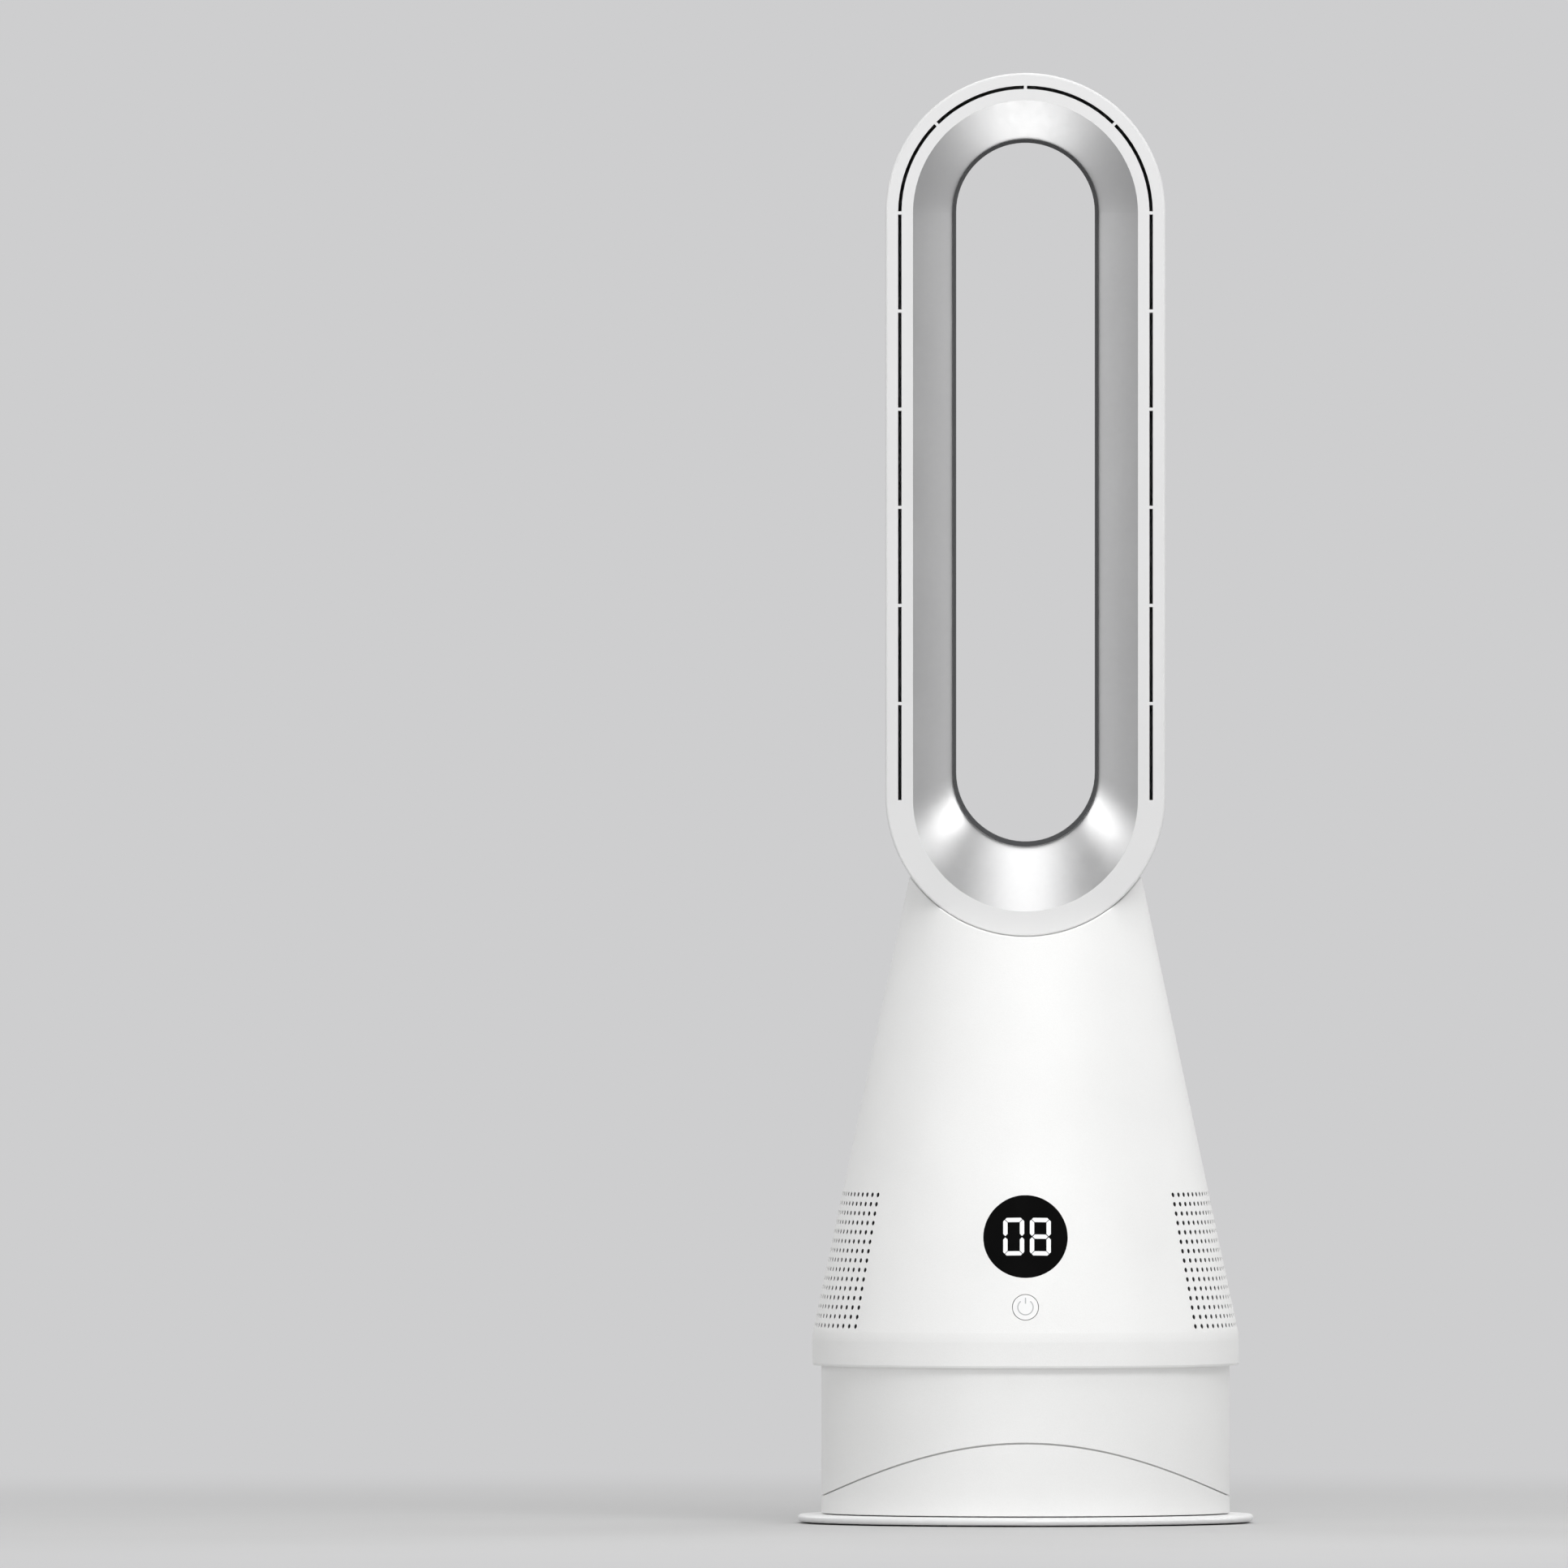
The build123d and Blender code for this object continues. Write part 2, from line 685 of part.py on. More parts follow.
with BuildPart() as base_screws:
    with BuildSketch(Plane.XY.offset(floor_bottom + floor_thickness / 2 - screw_head_height)):
        with PolarLocations(base_boss_circle, 4, start_angle=45):
            Circle(screw_head_radius)
        with Locations((-ballast_screw_x, ballast_screw_y), (ballast_screw_x, ballast_screw_y)):
            Circle(screw_head_radius)
    extrude(amount=screw_head_height)
    with BuildSketch(Plane.XY.offset(floor_bottom + floor_thickness / 2)):
        with PolarLocations(base_boss_circle, 4, start_angle=45):
            Circle(screw_radius - seat_gap)
        with Locations((-ballast_screw_x, ballast_screw_y), (ballast_screw_x, ballast_screw_y)):
            Circle(screw_radius - seat_gap)
    extrude(amount=floor_thickness / 2 + base_screw_reach - tip_clearance)
save(base_screws.part, "base_screws")

with BuildPart() as gear_motor:
    with BuildSketch(Plane.XY.offset(floor_top)):
        with Locations((0, pinion_y)):
            Circle(gear_motor_radius)
    extrude(amount=gear_motor_height)
    fillet(gear_motor.edges().group_by(Axis.Z)[-1], radius=gear_motor_rounding)
    with BuildSketch(Plane.XY.offset(floor_top)):
        with Locations((0, pinion_y)):
            SlotOverall(2 * (ear_reach + ear_half_width), 2 * ear_half_width)
        with Locations((-ear_reach, pinion_y), (ear_reach, pinion_y)):
            Circle(screw_radius + seat_gap, mode=Mode.SUBTRACT)
    extrude(amount=ear_thickness)
    with BuildSketch(Plane.XY.offset(floor_top)):
        with Locations((0, pinion_y)):
            Circle(pinion_shaft_radius + run_gap)
    extrude(amount=pinion_shaft_bite + free_gap, mode=Mode.SUBTRACT)
save(gear_motor.part, "gear_motor")

with BuildPart() as gear_motor_screws:
    with BuildSketch(Plane.XY.offset(floor_top + ear_thickness)):
        with Locations((-ear_reach, pinion_y), (ear_reach, pinion_y)):
            Circle(screw_head_radius)
    extrude(amount=screw_head_height)
    with BuildSketch(Plane.XY.offset(floor_bottom)):
        with Locations((-ear_reach, pinion_y), (ear_reach, pinion_y)):
            Circle(screw_radius - 2 * seat_gap)
    extrude(amount=floor_thickness + ear_thickness)
save(gear_motor_screws.part, "gear_motor_screws")

with BuildPart() as ballast_weight:
    with BuildSketch(Plane.XY.offset(floor_top)):
        Circle(ballast_radius)
        with Locations((0, -ballast_radius + ballast_front_y)):
            Rectangle(2 * ballast_radius, 2 * ballast_radius, mode=Mode.SUBTRACT)
        with Locations((-ballast_screw_x, ballast_screw_y), (ballast_screw_x, ballast_screw_y)):
            Circle(screw_radius, mode=Mode.SUBTRACT)
    extrude(amount=ballast_thickness)
    chamfer(ballast_weight.edges().group_by(Axis.Z)[-1].filter_by(Axis.X), length=ballast_chamfer)
save(ballast_weight.part, "ballast_weight")

with BuildPart() as power_inlet:
    with BuildSketch(facing(base_radius - inlet_recess)):
        with Locations((0, inlet_height_above)):
            Circle(inlet_barrel_radius)
    extrude(amount=inlet_length)
    with BuildSketch(facing(base_bore - inlet_seat_sag)):
        with Locations((0, inlet_height_above)):
            RectangleRounded(inlet_block, inlet_block, inlet_block_corner)
    extrude(amount=inlet_length - wall)
    with BuildSketch(facing(base_radius - inlet_recess)):
        with Locations((0, inlet_height_above)):
            Circle(inlet_bore_radius)
            Circle(inlet_pin_radius, mode=Mode.SUBTRACT)
    extrude(amount=inlet_bore_depth, mode=Mode.SUBTRACT)
save(power_inlet.part, "power_inlet")


# ---------------------------------------------------------------- tilting head: shell on the saddle
with BuildPart() as head_cavity:
    with BuildSketch():
        Circle(base_bore)
    extrude(amount=collar_top)
    add(below_tilt_axis(upper_saddle - wall, -foot_radius, foot_radius, drum_half_angle), mode=Mode.INTERSECT)

with BuildPart() as head_shell:
    with BuildSketch():
        Circle(base_radius)
    extrude(amount=lap_top)
    add(below_tilt_axis(upper_saddle, -foot_radius, foot_radius, drum_half_angle), mode=Mode.INTERSECT)
    add(head_cavity.part, mode=Mode.SUBTRACT)
    with BuildSketch(Plane.XY.offset(lap_top)):
        with PolarLocations(base_boss_circle, 4, start_angle=45):
            Circle(boss_radius)
    extrude(amount=-head_boss_length)
    with BuildSketch(Plane.XY.offset(lap_top)):
        with PolarLocations(base_boss_circle, 4, start_angle=45):
            Circle(screw_radius)
    extrude(amount=-head_screw_reach, mode=Mode.SUBTRACT)
    with BuildSketch():
        Circle(cable_hole_radius)
        with Locations(*hook_screw_places):
            Circle(screw_radius + seat_gap)
    extrude(amount=collar_bottom, mode=Mode.SUBTRACT)
save(head_shell.part, "head_shell")

hook_top = lower_saddle + wall + free_gap
hook_bottom = hook_top + hook_thickness
for x, name in ((-hook_x, "tilt_hook_left"), (hook_x, "tilt_hook_right")):
    with BuildPart() as tilt_hook:
        neck, foot = hook_neck / 2, hook_foot / 2
        add(tilt_layer(upper_saddle + seat_gap, hook_bottom, x - neck, x + neck, hook_half_angle))
        add(tilt_layer(hook_top, hook_bottom, x - foot, x + foot, hook_half_angle))
        with BuildSketch(Plane.XY.offset(tilt_height - upper_saddle + free_gap)):
            with Locations(*[place for place in hook_screw_places if place[0] == x]):
                Circle(screw_radius - seat_gap)
        extrude(amount=-hook_screw_bite, mode=Mode.SUBTRACT)
    save(tilt_hook.part, name)

with BuildPart() as hook_screws:
    with BuildSketch(Plane.XY.offset(hook_screw_seat)):
        with Locations(*hook_screw_places):
            Circle(screw_head_radius)
    extrude(amount=screw_head_height)
    with BuildSketch(Plane.XY.offset(hook_screw_seat)):
        with Locations(*hook_screw_places):
            Circle(screw_radius - 2 * seat_gap)
    extrude(amount=-(wall + hook_screw_bite - tip_clearance))
save(hook_screws.part, "hook_screws")


# ---------------------------------------------------------------- tilting head: cone housing
cone_top = ring_low
cone_solid = turned(outline(
    (0, collar_bottom),
    (collar_radius - collar_bevel_in, collar_bottom),
    (collar_radius, collar_bottom + collar_bevel_up),
    (collar_radius, collar_top),
    (cone_radius(cone_top), cone_top),
    (0, cone_top),
))
with BuildPart() as cone_body:
    add(cone_solid)
    crease = cone_body.edges().filter_by(GeomType.CIRCLE).filter_by_position(Axis.Z, collar_top, collar_top)
    fillet(crease, radius=crease_rounding)
cone_cavity = turned(outline(
    (0, collar_bottom),
    (base_radius + seat_gap, collar_bottom),
    (base_radius + seat_gap, lap_top),
    (base_bore, lap_top),
    (base_bore, lap_top + thin_wall),
    (collar_radius - wall, lap_top + thin_wall),
    (collar_radius - wall, collar_top),
    (cone_radius(collar_top, wall), collar_top),
    (cone_radius(cone_top, wall), cone_top),
    (0, cone_top),
))

# The air ring lies in a round-bottomed cradle that runs through the cone from front to back.
with BuildPart() as cradle:
    with BuildSketch(facing(-collar_radius)):
        stadium(ring_radius + cradle_gap + cradle_wall, ring_low, ring_high)
    extrude(amount=-2 * collar_radius)
    add(cone_solid, mode=Mode.INTERSECT)


def intake_panel(side, grow=0.0):
    """Piece of the cone's wall that carries the intake holes, on the side of x given by its sign."""
    low = intake_low - intake_margin
    high = intake_low + intake_row_pitch * (intake_rows - 1) + intake_margin
    half = intake_column_step * (intake_columns - 1) / 2 + degrees(intake_margin / cone_radius(low))
    with BuildPart() as panel:
        with BuildSketch(Plane.XZ):
            add(skin(-grow, wall + grow, low, high))
        revolve(axis=Axis.Z, revolution_arc=half)
        mirror(about=Plane.XZ)
    return panel.part if side > 0 else panel.part.rotate(Axis.Z, 180)


# Lugs inside the cone carry the fan housing, and posts behind its front carry the board.
cone_core = turned(outline(
    (0, collar_top),
    (cone_radius(collar_top, wall / 2), collar_top),
    (cone_radius(cone_top, wall / 2), cone_top),
    (0, cone_top),
))
cone_inside = turned(outline(
    (0, collar_top),
    (cone_radius(collar_top, wall + seat_gap), collar_top),
    (cone_radius(cone_top, wall + seat_gap), cone_top),
    (0, cone_top),
))
with BuildPart() as housing_lugs:
    with BuildSketch(Plane.XY.offset(housing_floor)):
        with PolarLocations(lug_circle + lug_width / 2, 4, start_angle=45):
            Rectangle(3 * lug_width, lug_width)
    extrude(amount=-lug_height)
    add(cone_core, mode=Mode.INTERSECT)

with BuildPart() as board_posts:
    with BuildSketch(on_cone(board_middle, board_depth)):
        with Locations(*board_screw_places):
            Circle(post_radius)
    extrude(amount=2 * board_depth)
    add(cone_core, mode=Mode.INTERSECT)


def is_lip(edge):
    """Whether an edge lies both on the cone's skin and on the bore that holds the air ring."""
    tolerance = 0.02
    for share in (0.1, 0.5, 0.9):
        point = edge @ share
        off_skin = Vector(point.X, point.Y).length - cone_radius(point.Z)
        off_bore = Vector(point.X, point.Z - ring_low).length - (ring_radius + cradle_gap)
        if max(abs(off_skin), abs(off_bore)) > tolerance:
            return False
    return True


with BuildPart() as cone_shell:
    add(cone_body.part)
    add(cone_cavity, mode=Mode.SUBTRACT)
    add(cradle.part)
    add(housing_lugs.part)
    add(board_posts.part)
    with BuildSketch(facing(-collar_radius)):
        stadium(ring_radius + cradle_gap, ring_low, ring_high)
    extrude(amount=-2 * collar_radius, mode=Mode.SUBTRACT)
    fillet(cone_shell.edges().filter_by(is_lip), radius=lip_rounding)
    with BuildSketch(Plane.XY.offset(lap_top)):
        with PolarLocations(base_boss_circle, 4, start_angle=45):
            Circle(boss_radius)
    extrude(amount=thin_wall)
    with BuildSketch(Plane.XY.offset(lap_top)):
        with PolarLocations(base_boss_circle, 4, start_angle=45):
            Circle(screw_radius + seat_gap)
    extrude(amount=thin_wall, mode=Mode.SUBTRACT)
    with BuildSketch(Plane.XY.offset(housing_floor)):
        with PolarLocations(lug_circle, 4, start_angle=45):
            Circle(screw_radius)
    extrude(amount=-(lug_height - lug_floor), mode=Mode.SUBTRACT)
    with BuildSketch(on_cone(board_middle, board_depth)):
        with Locations(*board_screw_places):
            Circle(screw_radius)
    extrude(amount=post_screw_reach, mode=Mode.SUBTRACT)
    with BuildSketch(on_cone(display_height, board_depth)):
        Circle(display_radius + seat_gap)
    extrude(amount=2 * board_depth, mode=Mode.SUBTRACT)
    with BuildSketch(on_cone(button_height, board_depth)):
        Circle(button_radius + button_gap)
    extrude(amount=2 * board_depth, mode=Mode.SUBTRACT)
    with BuildSketch(Plane.XY.offset(housing_floor)):
        RectangleRounded(2 * neck_half_width, 2 * neck_half_depth, neck_corner)
    extrude(amount=ring_low - ring_radius / 2 - housing_floor, mode=Mode.SUBTRACT)
    for plane in ring_screw_planes:
        with BuildSketch(plane):
            Circle(screw_radius + seat_gap)
        extrude(amount=2 * cradle_wall, both=True, mode=Mode.SUBTRACT)
    for side in (-1, 1):
        add(intake_panel(side, grow=overcut), mode=Mode.SUBTRACT)
save(cone_shell.part, "cone_shell")


def hole_plane(column, row):
    """Plane square to the right panel's surface at one of its air holes."""
    height = intake_low + intake_row_pitch * row
    angle = radians(intake_column_step * (column - (intake_columns - 1) / 2))
    radius = cone_radius(height)
    return Plane(
        origin=(radius * cos(angle), radius * sin(angle), height),
        z_dir=(cos(cone_angle) * cos(angle), cos(cone_angle) * sin(angle), sin(cone_angle)),
    )


hole_planes = [hole_plane(column, row) for column in range(intake_columns) for row in range(intake_rows)]
with BuildPart() as perforated_panel:
    add(intake_panel(1))
    with Locations(*hole_planes):
        Cylinder(hole_radius, 2 * (wall + overcut), mode=Mode.SUBTRACT)
save(perforated_panel.part, "intake_grille_right")
save(perforated_panel.part.rotate(Axis.Z, 180), "intake_grille_left")

with BuildPart() as head_screws:
    with BuildSketch(Plane.XY.offset(lap_top + thin_wall)):
        with PolarLocations(base_boss_circle, 4, start_angle=45):
            Circle(screw_head_radius)
    extrude(amount=screw_head_height)
    with BuildSketch(Plane.XY.offset(lap_top + thin_wall)):
        with PolarLocations(base_boss_circle, 4, start_angle=45):
            Circle(screw_radius - seat_gap)
    extrude(amount=-(thin_wall + head_screw_reach - tip_clearance))
save(head_screws.part, "head_screws")


# ---------------------------------------------------------------- air ring
def air_slots(width):
    """Slots of a width up both sides and over the top of the ring, drawn in the open sketch."""
    pitch = (ring_high - slots_low) / slots_each_side
    for step in range(slots_each_side):
        height = slots_low + pitch * (step + 0.5)
        with Locations((-slot_radius, height), (slot_radius, height)):
            Rectangle(width, pitch - slot_rib)
    arc_step = 180.0 / slots_over_top
    rib_angle = degrees(slot_rib / slot_radius)
    with BuildLine() as arcs:
        for step in range(slots_over_top):
            CenterArc((0, ring_high), slot_radius, arc_step * step + rib_angle / 2, arc_step - rib_angle)
    trace(arcs.line, line_width=width)


with BuildPart() as ring_face:
    with BuildSketch(facing(ring_front_y)):
        stadium(ring_radius, ring_low, ring_high)
    extrude(amount=-face_thickness)
    fillet(ring_face.edges().group_by(Axis.Y)[0], radius=face_rounding)
    with BuildSketch(facing(ring_front_y)):
        stadium(face_inner_radius, face_inner_low, ring_high)
    extrude(amount=-face_thickness, mode=Mode.SUBTRACT)
    with BuildSketch(facing(ring_front_y)):
        air_slots(slot_width)
    extrude(amount=-face_thickness, mode=Mode.SUBTRACT)
save(ring_face.part, "ring_face")

with BuildPart() as nozzle_frame:
    with BuildSketch(facing(face_back_y)):
        stadium(slot_radius + nozzle_half_width, ring_low, ring_high)
        stadium(slot_radius - nozzle_half_width, ring_low, ring_high, mode=Mode.SUBTRACT)
        with Locations((0, slots_low - ring_radius)):
            Rectangle(2 * ring_radius, 2 * ring_radius, mode=Mode.SUBTRACT)
    extrude(amount=-nozzle_depth)
    with BuildSketch(facing(face_back_y)):
        air_slots(slot_width + nozzle_flare)
    extrude(amount=-nozzle_depth, mode=Mode.SUBTRACT)
save(nozzle_frame.part, "nozzle_frame")

with BuildPart() as ring_cavity:
    with BuildSketch(facing(face_back_y)):
        stadium(ring_radius - ring_wall, ring_low, ring_high)
    extrude(amount=-(ring_back_y - ring_wall - face_back_y))
    fillet(ring_cavity.edges().group_by(Axis.Y)[-1], radius=back_rounding - ring_wall)

with BuildPart() as ring_shell:
    with BuildSketch(facing(face_back_y)):
        stadium(ring_radius, ring_low, ring_high)
    extrude(amount=-(ring_back_y - face_back_y))
    fillet(ring_shell.edges().group_by(Axis.Y)[-1], radius=back_rounding)
    add(ring_cavity.part, mode=Mode.SUBTRACT)
    with BuildSketch(facing(ring_back_y)):
        stadium(liner_back_radius + seat_gap, liner_back_low, liner_back_high)
    extrude(amount=ring_wall, mode=Mode.SUBTRACT)
    for plane in ring_screw_planes:
        inner_end = plane.offset(-(cradle_wall + cradle_gap + ring_wall + ring_boss_length))
        with BuildSketch(inner_end):
            Circle(post_radius)
        extrude(amount=ring_boss_length + ring_wall / 2)
        with BuildSketch(inner_end):
            Circle(screw_radius)
        extrude(amount=2 * ring_boss_length, mode=Mode.SUBTRACT)
    with BuildSketch(Plane.XY.offset(housing_floor)):
        RectangleRounded(2 * neck_half_width, 2 * neck_half_depth, neck_corner)
    extrude(amount=ring_low - ring_radius / 2 - housing_floor, mode=Mode.SUBTRACT)
save(ring_shell.part, "ring_shell")

with BuildPart() as ring_screws:
    for plane in ring_screw_planes:
        with BuildSketch(plane):
            Circle(screw_head_radius)
        extrude(amount=screw_head_height)
        with BuildSketch(plane):
            Circle(screw_radius - seat_gap)
        extrude(amount=-(cradle_wall + cradle_gap + ring_wall + ring_boss_length - tip_clearance))
save(ring_screws.part, "ring_screws")

with BuildPart() as liner_bore:
    with BuildSketch(facing(face_back_y)):
        stadium(face_inner_radius, face_inner_low, ring_high)
    with BuildSketch(facing(throat_front_y)):
        stadium(liner_back_radius, liner_back_low, liner_back_high)
    loft(ruled=True)
with BuildPart() as ring_liner:
    with BuildSketch(facing(face_back_y)):
        stadium(face_inner_radius + thin_wall, face_inner_low, ring_high)
    with BuildSketch(facing(throat_front_y)):
        stadium(liner_back_radius + thin_wall, liner_back_low, liner_back_high)
    loft(ruled=True)
    add(liner_bore.part, mode=Mode.SUBTRACT)
save(ring_liner.part, "ring_liner")

with BuildPart() as throat:
    with BuildSketch(facing(throat_front_y)):
        stadium(liner_back_radius + 1.5 * thin_wall, liner_back_low, liner_back_high)
    extrude(amount=-thin_wall)
    with BuildSketch(facing(throat_front_y)):
        stadium(liner_back_radius, liner_back_low, liner_back_high)
    extrude(amount=-throat_length)
    with BuildSketch(facing(throat_front_y)):
        stadium(throat_radius, throat_low, liner_back_high)
    extrude(amount=-throat_length, mode=Mode.SUBTRACT)
save(throat.part, "throat")


# ---------------------------------------------------------------- display, button and board
digit_half = digit_stroke / 2
column = digit_width / 2 - digit_half
top_line = digit_height / 2 - digit_half
zero_centre, eight_centre = digit_centres


def pointed_end(reach):
    """Right end of a bar along X that comes to a point, from its outer edge to its inner one."""
    return [(reach - digit_half, digit_half), (reach, 0), (reach - digit_half, -digit_half)]


def mitred_end(reach):
    """Right end of a bar along X at a bevelled corner of the digit, from its outer edge to its inner one."""
    slit = digit_gap / sqrt(2)
    tip = digit_half - (digit_bevel - slit) / 2
    return [
        (reach + digit_half - digit_bevel, digit_half),
        (reach + tip - slit, tip),
        (reach - digit_half - slit, -digit_half),
    ]


def bar(right_end, left_end):
    """Bar of a digit along X, as a sketch. Both ends are given as right ends."""
    return outline(*right_end, *[(-x, y) for x, y in reversed(left_end)])


top_bar = bar(mitred_end(column), mitred_end(column))
side_bar = bar(mitred_end(top_line / 2), pointed_end(top_line / 2 - digit_gap))
middle_bar = bar(pointed_end(column - digit_gap), pointed_end(column - digit_gap))
with BuildSketch() as zero:
    with Locations((0, top_line)):
        add(top_bar)
    with Locations((-column, top_line / 2)):
        add(side_bar, rotation=90)
    mirror(about=Plane.YZ)
    mirror(about=Plane.XZ)
with BuildSketch() as digits:
    with Locations((zero_centre, 0), (eight_centre, 0)):
        add(zero.sketch)
    with Locations((eight_centre, 0)):
        add(middle_bar)

skin_low = collar_top
skin_high = housing_floor
with BuildPart() as display_digits:
    add(turned(skin(0, digit_depth, skin_low, skin_high)))
    with BuildSketch(on_cone(display_height, board_depth)):
        add(digits.sketch)
    extrude(amount=2 * board_depth, mode=Mode.INTERSECT)
save(display_digits.part, "display_digits")

with BuildPart() as display_lens:
    add(turned(skin(0, lens_thickness, skin_low, skin_high)))
    with BuildSketch(on_cone(display_height, board_depth)):
        Circle(display_radius)
    extrude(amount=2 * board_depth, mode=Mode.INTERSECT)
    add(display_digits.part, mode=Mode.SUBTRACT)
save(display_lens.part, "display_lens")

with BuildPart() as frame_flange:
    add(turned(skin(wall + seat_gap, 2 * wall, skin_low, skin_high)))
    with BuildSketch(on_cone(display_height, board_depth)):
        Circle(display_radius + frame_lip)
    extrude(amount=2 * board_depth, mode=Mode.INTERSECT)
with BuildPart() as display_frame:
    add(turned(skin(lens_thickness + seat_gap, 2 * board_depth, skin_low, skin_high)))
    with BuildSketch(on_cone(display_height, board_depth)):
        Circle(display_radius - frame_inset)
    extrude(amount=2 * board_depth, mode=Mode.INTERSECT)
    add(frame_flange.part)
    with BuildSketch(on_cone(display_height, board_depth)):
        Circle(display_radius - frame_inset - thin_wall)
    extrude(amount=2 * board_depth, mode=Mode.SUBTRACT)
save(display_frame.part, "display_frame")

with BuildPart() as display_lamp:
    with BuildSketch(on_cone(display_height, board_depth)):
        Rectangle(lamp_width, lamp_height)
    extrude(amount=board_depth - lamp_depth)
save(display_lamp.part, "display_lamp")

with BuildPart() as power_button:
    add(turned(skin(0, board_depth / 2, skin_low, skin_high)))
    with BuildSketch(on_cone(button_height, button_flange_depth + button_flange_thickness)):
        Circle(button_radius)
    extrude(amount=2 * board_depth, mode=Mode.INTERSECT)
    with BuildSketch(on_cone(button_height, button_flange_depth + button_flange_thickness)):
        Circle(button_flange_radius)
    extrude(amount=button_flange_thickness)
    with BuildSketch(on_cone(button_height, button_stem_depth)):
        Circle(button_stem_radius)
    extrude(amount=button_stem_depth - button_flange_depth)
save(power_button.part, "power_button")

with BuildPart() as button_guide:
    with BuildSketch(on_cone(button_height, board_depth)):
        Circle(guide_radius + thin_wall)
        Circle(guide_radius, mode=Mode.SUBTRACT)
    extrude(amount=2 * board_depth)
    add(cone_inside, mode=Mode.INTERSECT)
save(button_guide.part, "button_guide")

plunger_top = board_depth - button_stem_depth - button_travel - plunger_gap
with BuildPart() as button_switch:
    with BuildSketch(on_cone(button_height, board_depth)):
        Rectangle(switch_width, switch_width)
    extrude(amount=plunger_top - plunger_rise)
    with BuildSketch(on_cone(button_height, board_depth)):
        Circle(plunger_radius)
    extrude(amount=plunger_top)
save(button_switch.part, "button_switch")

with BuildPart() as control_board:
    with BuildSketch(on_cone(board_middle, board_depth)):
        RectangleRounded(board_width, board_length, board_corner)
        with Locations(*board_screw_places):
            Circle(screw_radius + seat_gap, mode=Mode.SUBTRACT)
    extrude(amount=-board_thickness)
save(control_board.part, "control_board")

with BuildPart() as board_screws:
    with BuildSketch(on_cone(board_middle, board_depth + board_thickness)):
        with Locations(*board_screw_places):
            Circle(screw_head_radius)
    extrude(amount=-screw_head_height)
    with BuildSketch(on_cone(board_middle, board_depth + board_thickness)):
        with Locations(*board_screw_places):
            Circle(screw_radius - seat_gap)
    extrude(amount=board_thickness + post_screw_reach - tip_clearance)
save(board_screws.part, "board_screws")


# ---------------------------------------------------------------- fan housing, motor and impeller
flange_top = housing_floor + housing_flange
flange_radius = cone_radius(flange_top, wall) - seal_width
impeller_bottom = flange_top + impeller_rise
impeller_top = impeller_bottom + impeller_height
pod_bottom = impeller_top + impeller_gap
pod_top = pod_bottom + pod_height
belly_height = pod_bottom - thin_wall
outlet_height = pod_top + pod_to_outlet
motor_bottom = pod_bottom + motor_lift
motor_top = motor_bottom + motor_height


def duct_radius(height):
    """Inner radius of the fan housing at a height."""
    if height < belly_height:
        share = (height - flange_top) / (belly_height - flange_top)
        return intake_mouth_radius + share * (belly_radius - intake_mouth_radius)
    share = (height - belly_height) / (outlet_height - belly_height)
    return belly_radius + share * (outlet_radius - belly_radius)


with BuildPart() as fan_housing:
    add(turned(outline(
        (intake_mouth_radius, housing_floor),
        (flange_radius, housing_floor),
        (flange_radius, flange_top),
        (intake_mouth_radius + mouth_slope, flange_top),
        (belly_radius + thin_wall, belly_height),
        (outlet_radius + thin_wall, outlet_height),
        (outlet_radius, outlet_height),
        (belly_radius, belly_height),
        (intake_mouth_radius, flange_top),
    )))
    with BuildSketch(Plane.XY.offset(housing_floor)):
        with PolarLocations(lug_circle, 4, start_angle=45):
            Circle(screw_radius + seat_gap)
    extrude(amount=housing_flange, mode=Mode.SUBTRACT)
save(fan_housing.part, "fan_housing")

with BuildPart() as housing_seal:
    add(turned(outline(
        (flange_radius + seat_gap, housing_floor),
        (cone_radius(housing_floor, wall) - seal_seat, housing_floor),
        (cone_radius(flange_top, wall) - seal_seat, flange_top),
        (flange_radius + seat_gap, flange_top),
    )))
save(housing_seal.part, "housing_seal")

with BuildPart() as housing_screws:
    with BuildSketch(Plane.XY.offset(flange_top)):
        with PolarLocations(lug_circle, 4, start_angle=45):
            Circle(screw_head_radius)
    extrude(amount=screw_head_height)
    with BuildSketch(Plane.XY.offset(flange_top)):
        with PolarLocations(lug_circle, 4, start_angle=45):
            Circle(screw_radius - seat_gap)
    extrude(amount=-(housing_flange + lug_height - lug_floor - tip_clearance))
save(housing_screws.part, "housing_screws")

with BuildPart() as vanes:
    with BuildSketch(Plane.XY.offset(pod_bottom + vane_rise)):
        with PolarLocations((pod_radius + belly_radius) / 2, vane_count):
            Rectangle(belly_radius - pod_radius + 2 * thin_wall, blade_thickness)
    extrude(amount=pod_height - vane_rise - vane_drop)
    add(turned(outline(
        (pod_radius - vane_bite, pod_bottom),
        (duct_radius(pod_bottom) - vane_seat, pod_bottom),
        (duct_radius(outlet_height) - vane_seat, outlet_height),
        (pod_radius - vane_bite, outlet_height),
    )), mode=Mode.INTERSECT)

with BuildPart() as diffuser:
    add(turned(outline(
        (shaft_radius + shaft_hole_gap, pod_bottom),
        (pod_radius, pod_bottom),
        (pod_radius, pod_top),
        (pod_radius - thin_wall, pod_top),
        (pod_radius - thin_wall, pod_bottom + thin_wall),
        (shaft_radius + shaft_hole_gap, pod_bottom + thin_wall),
    )))
    add(vanes.part)
save(diffuser.part, "diffuser")

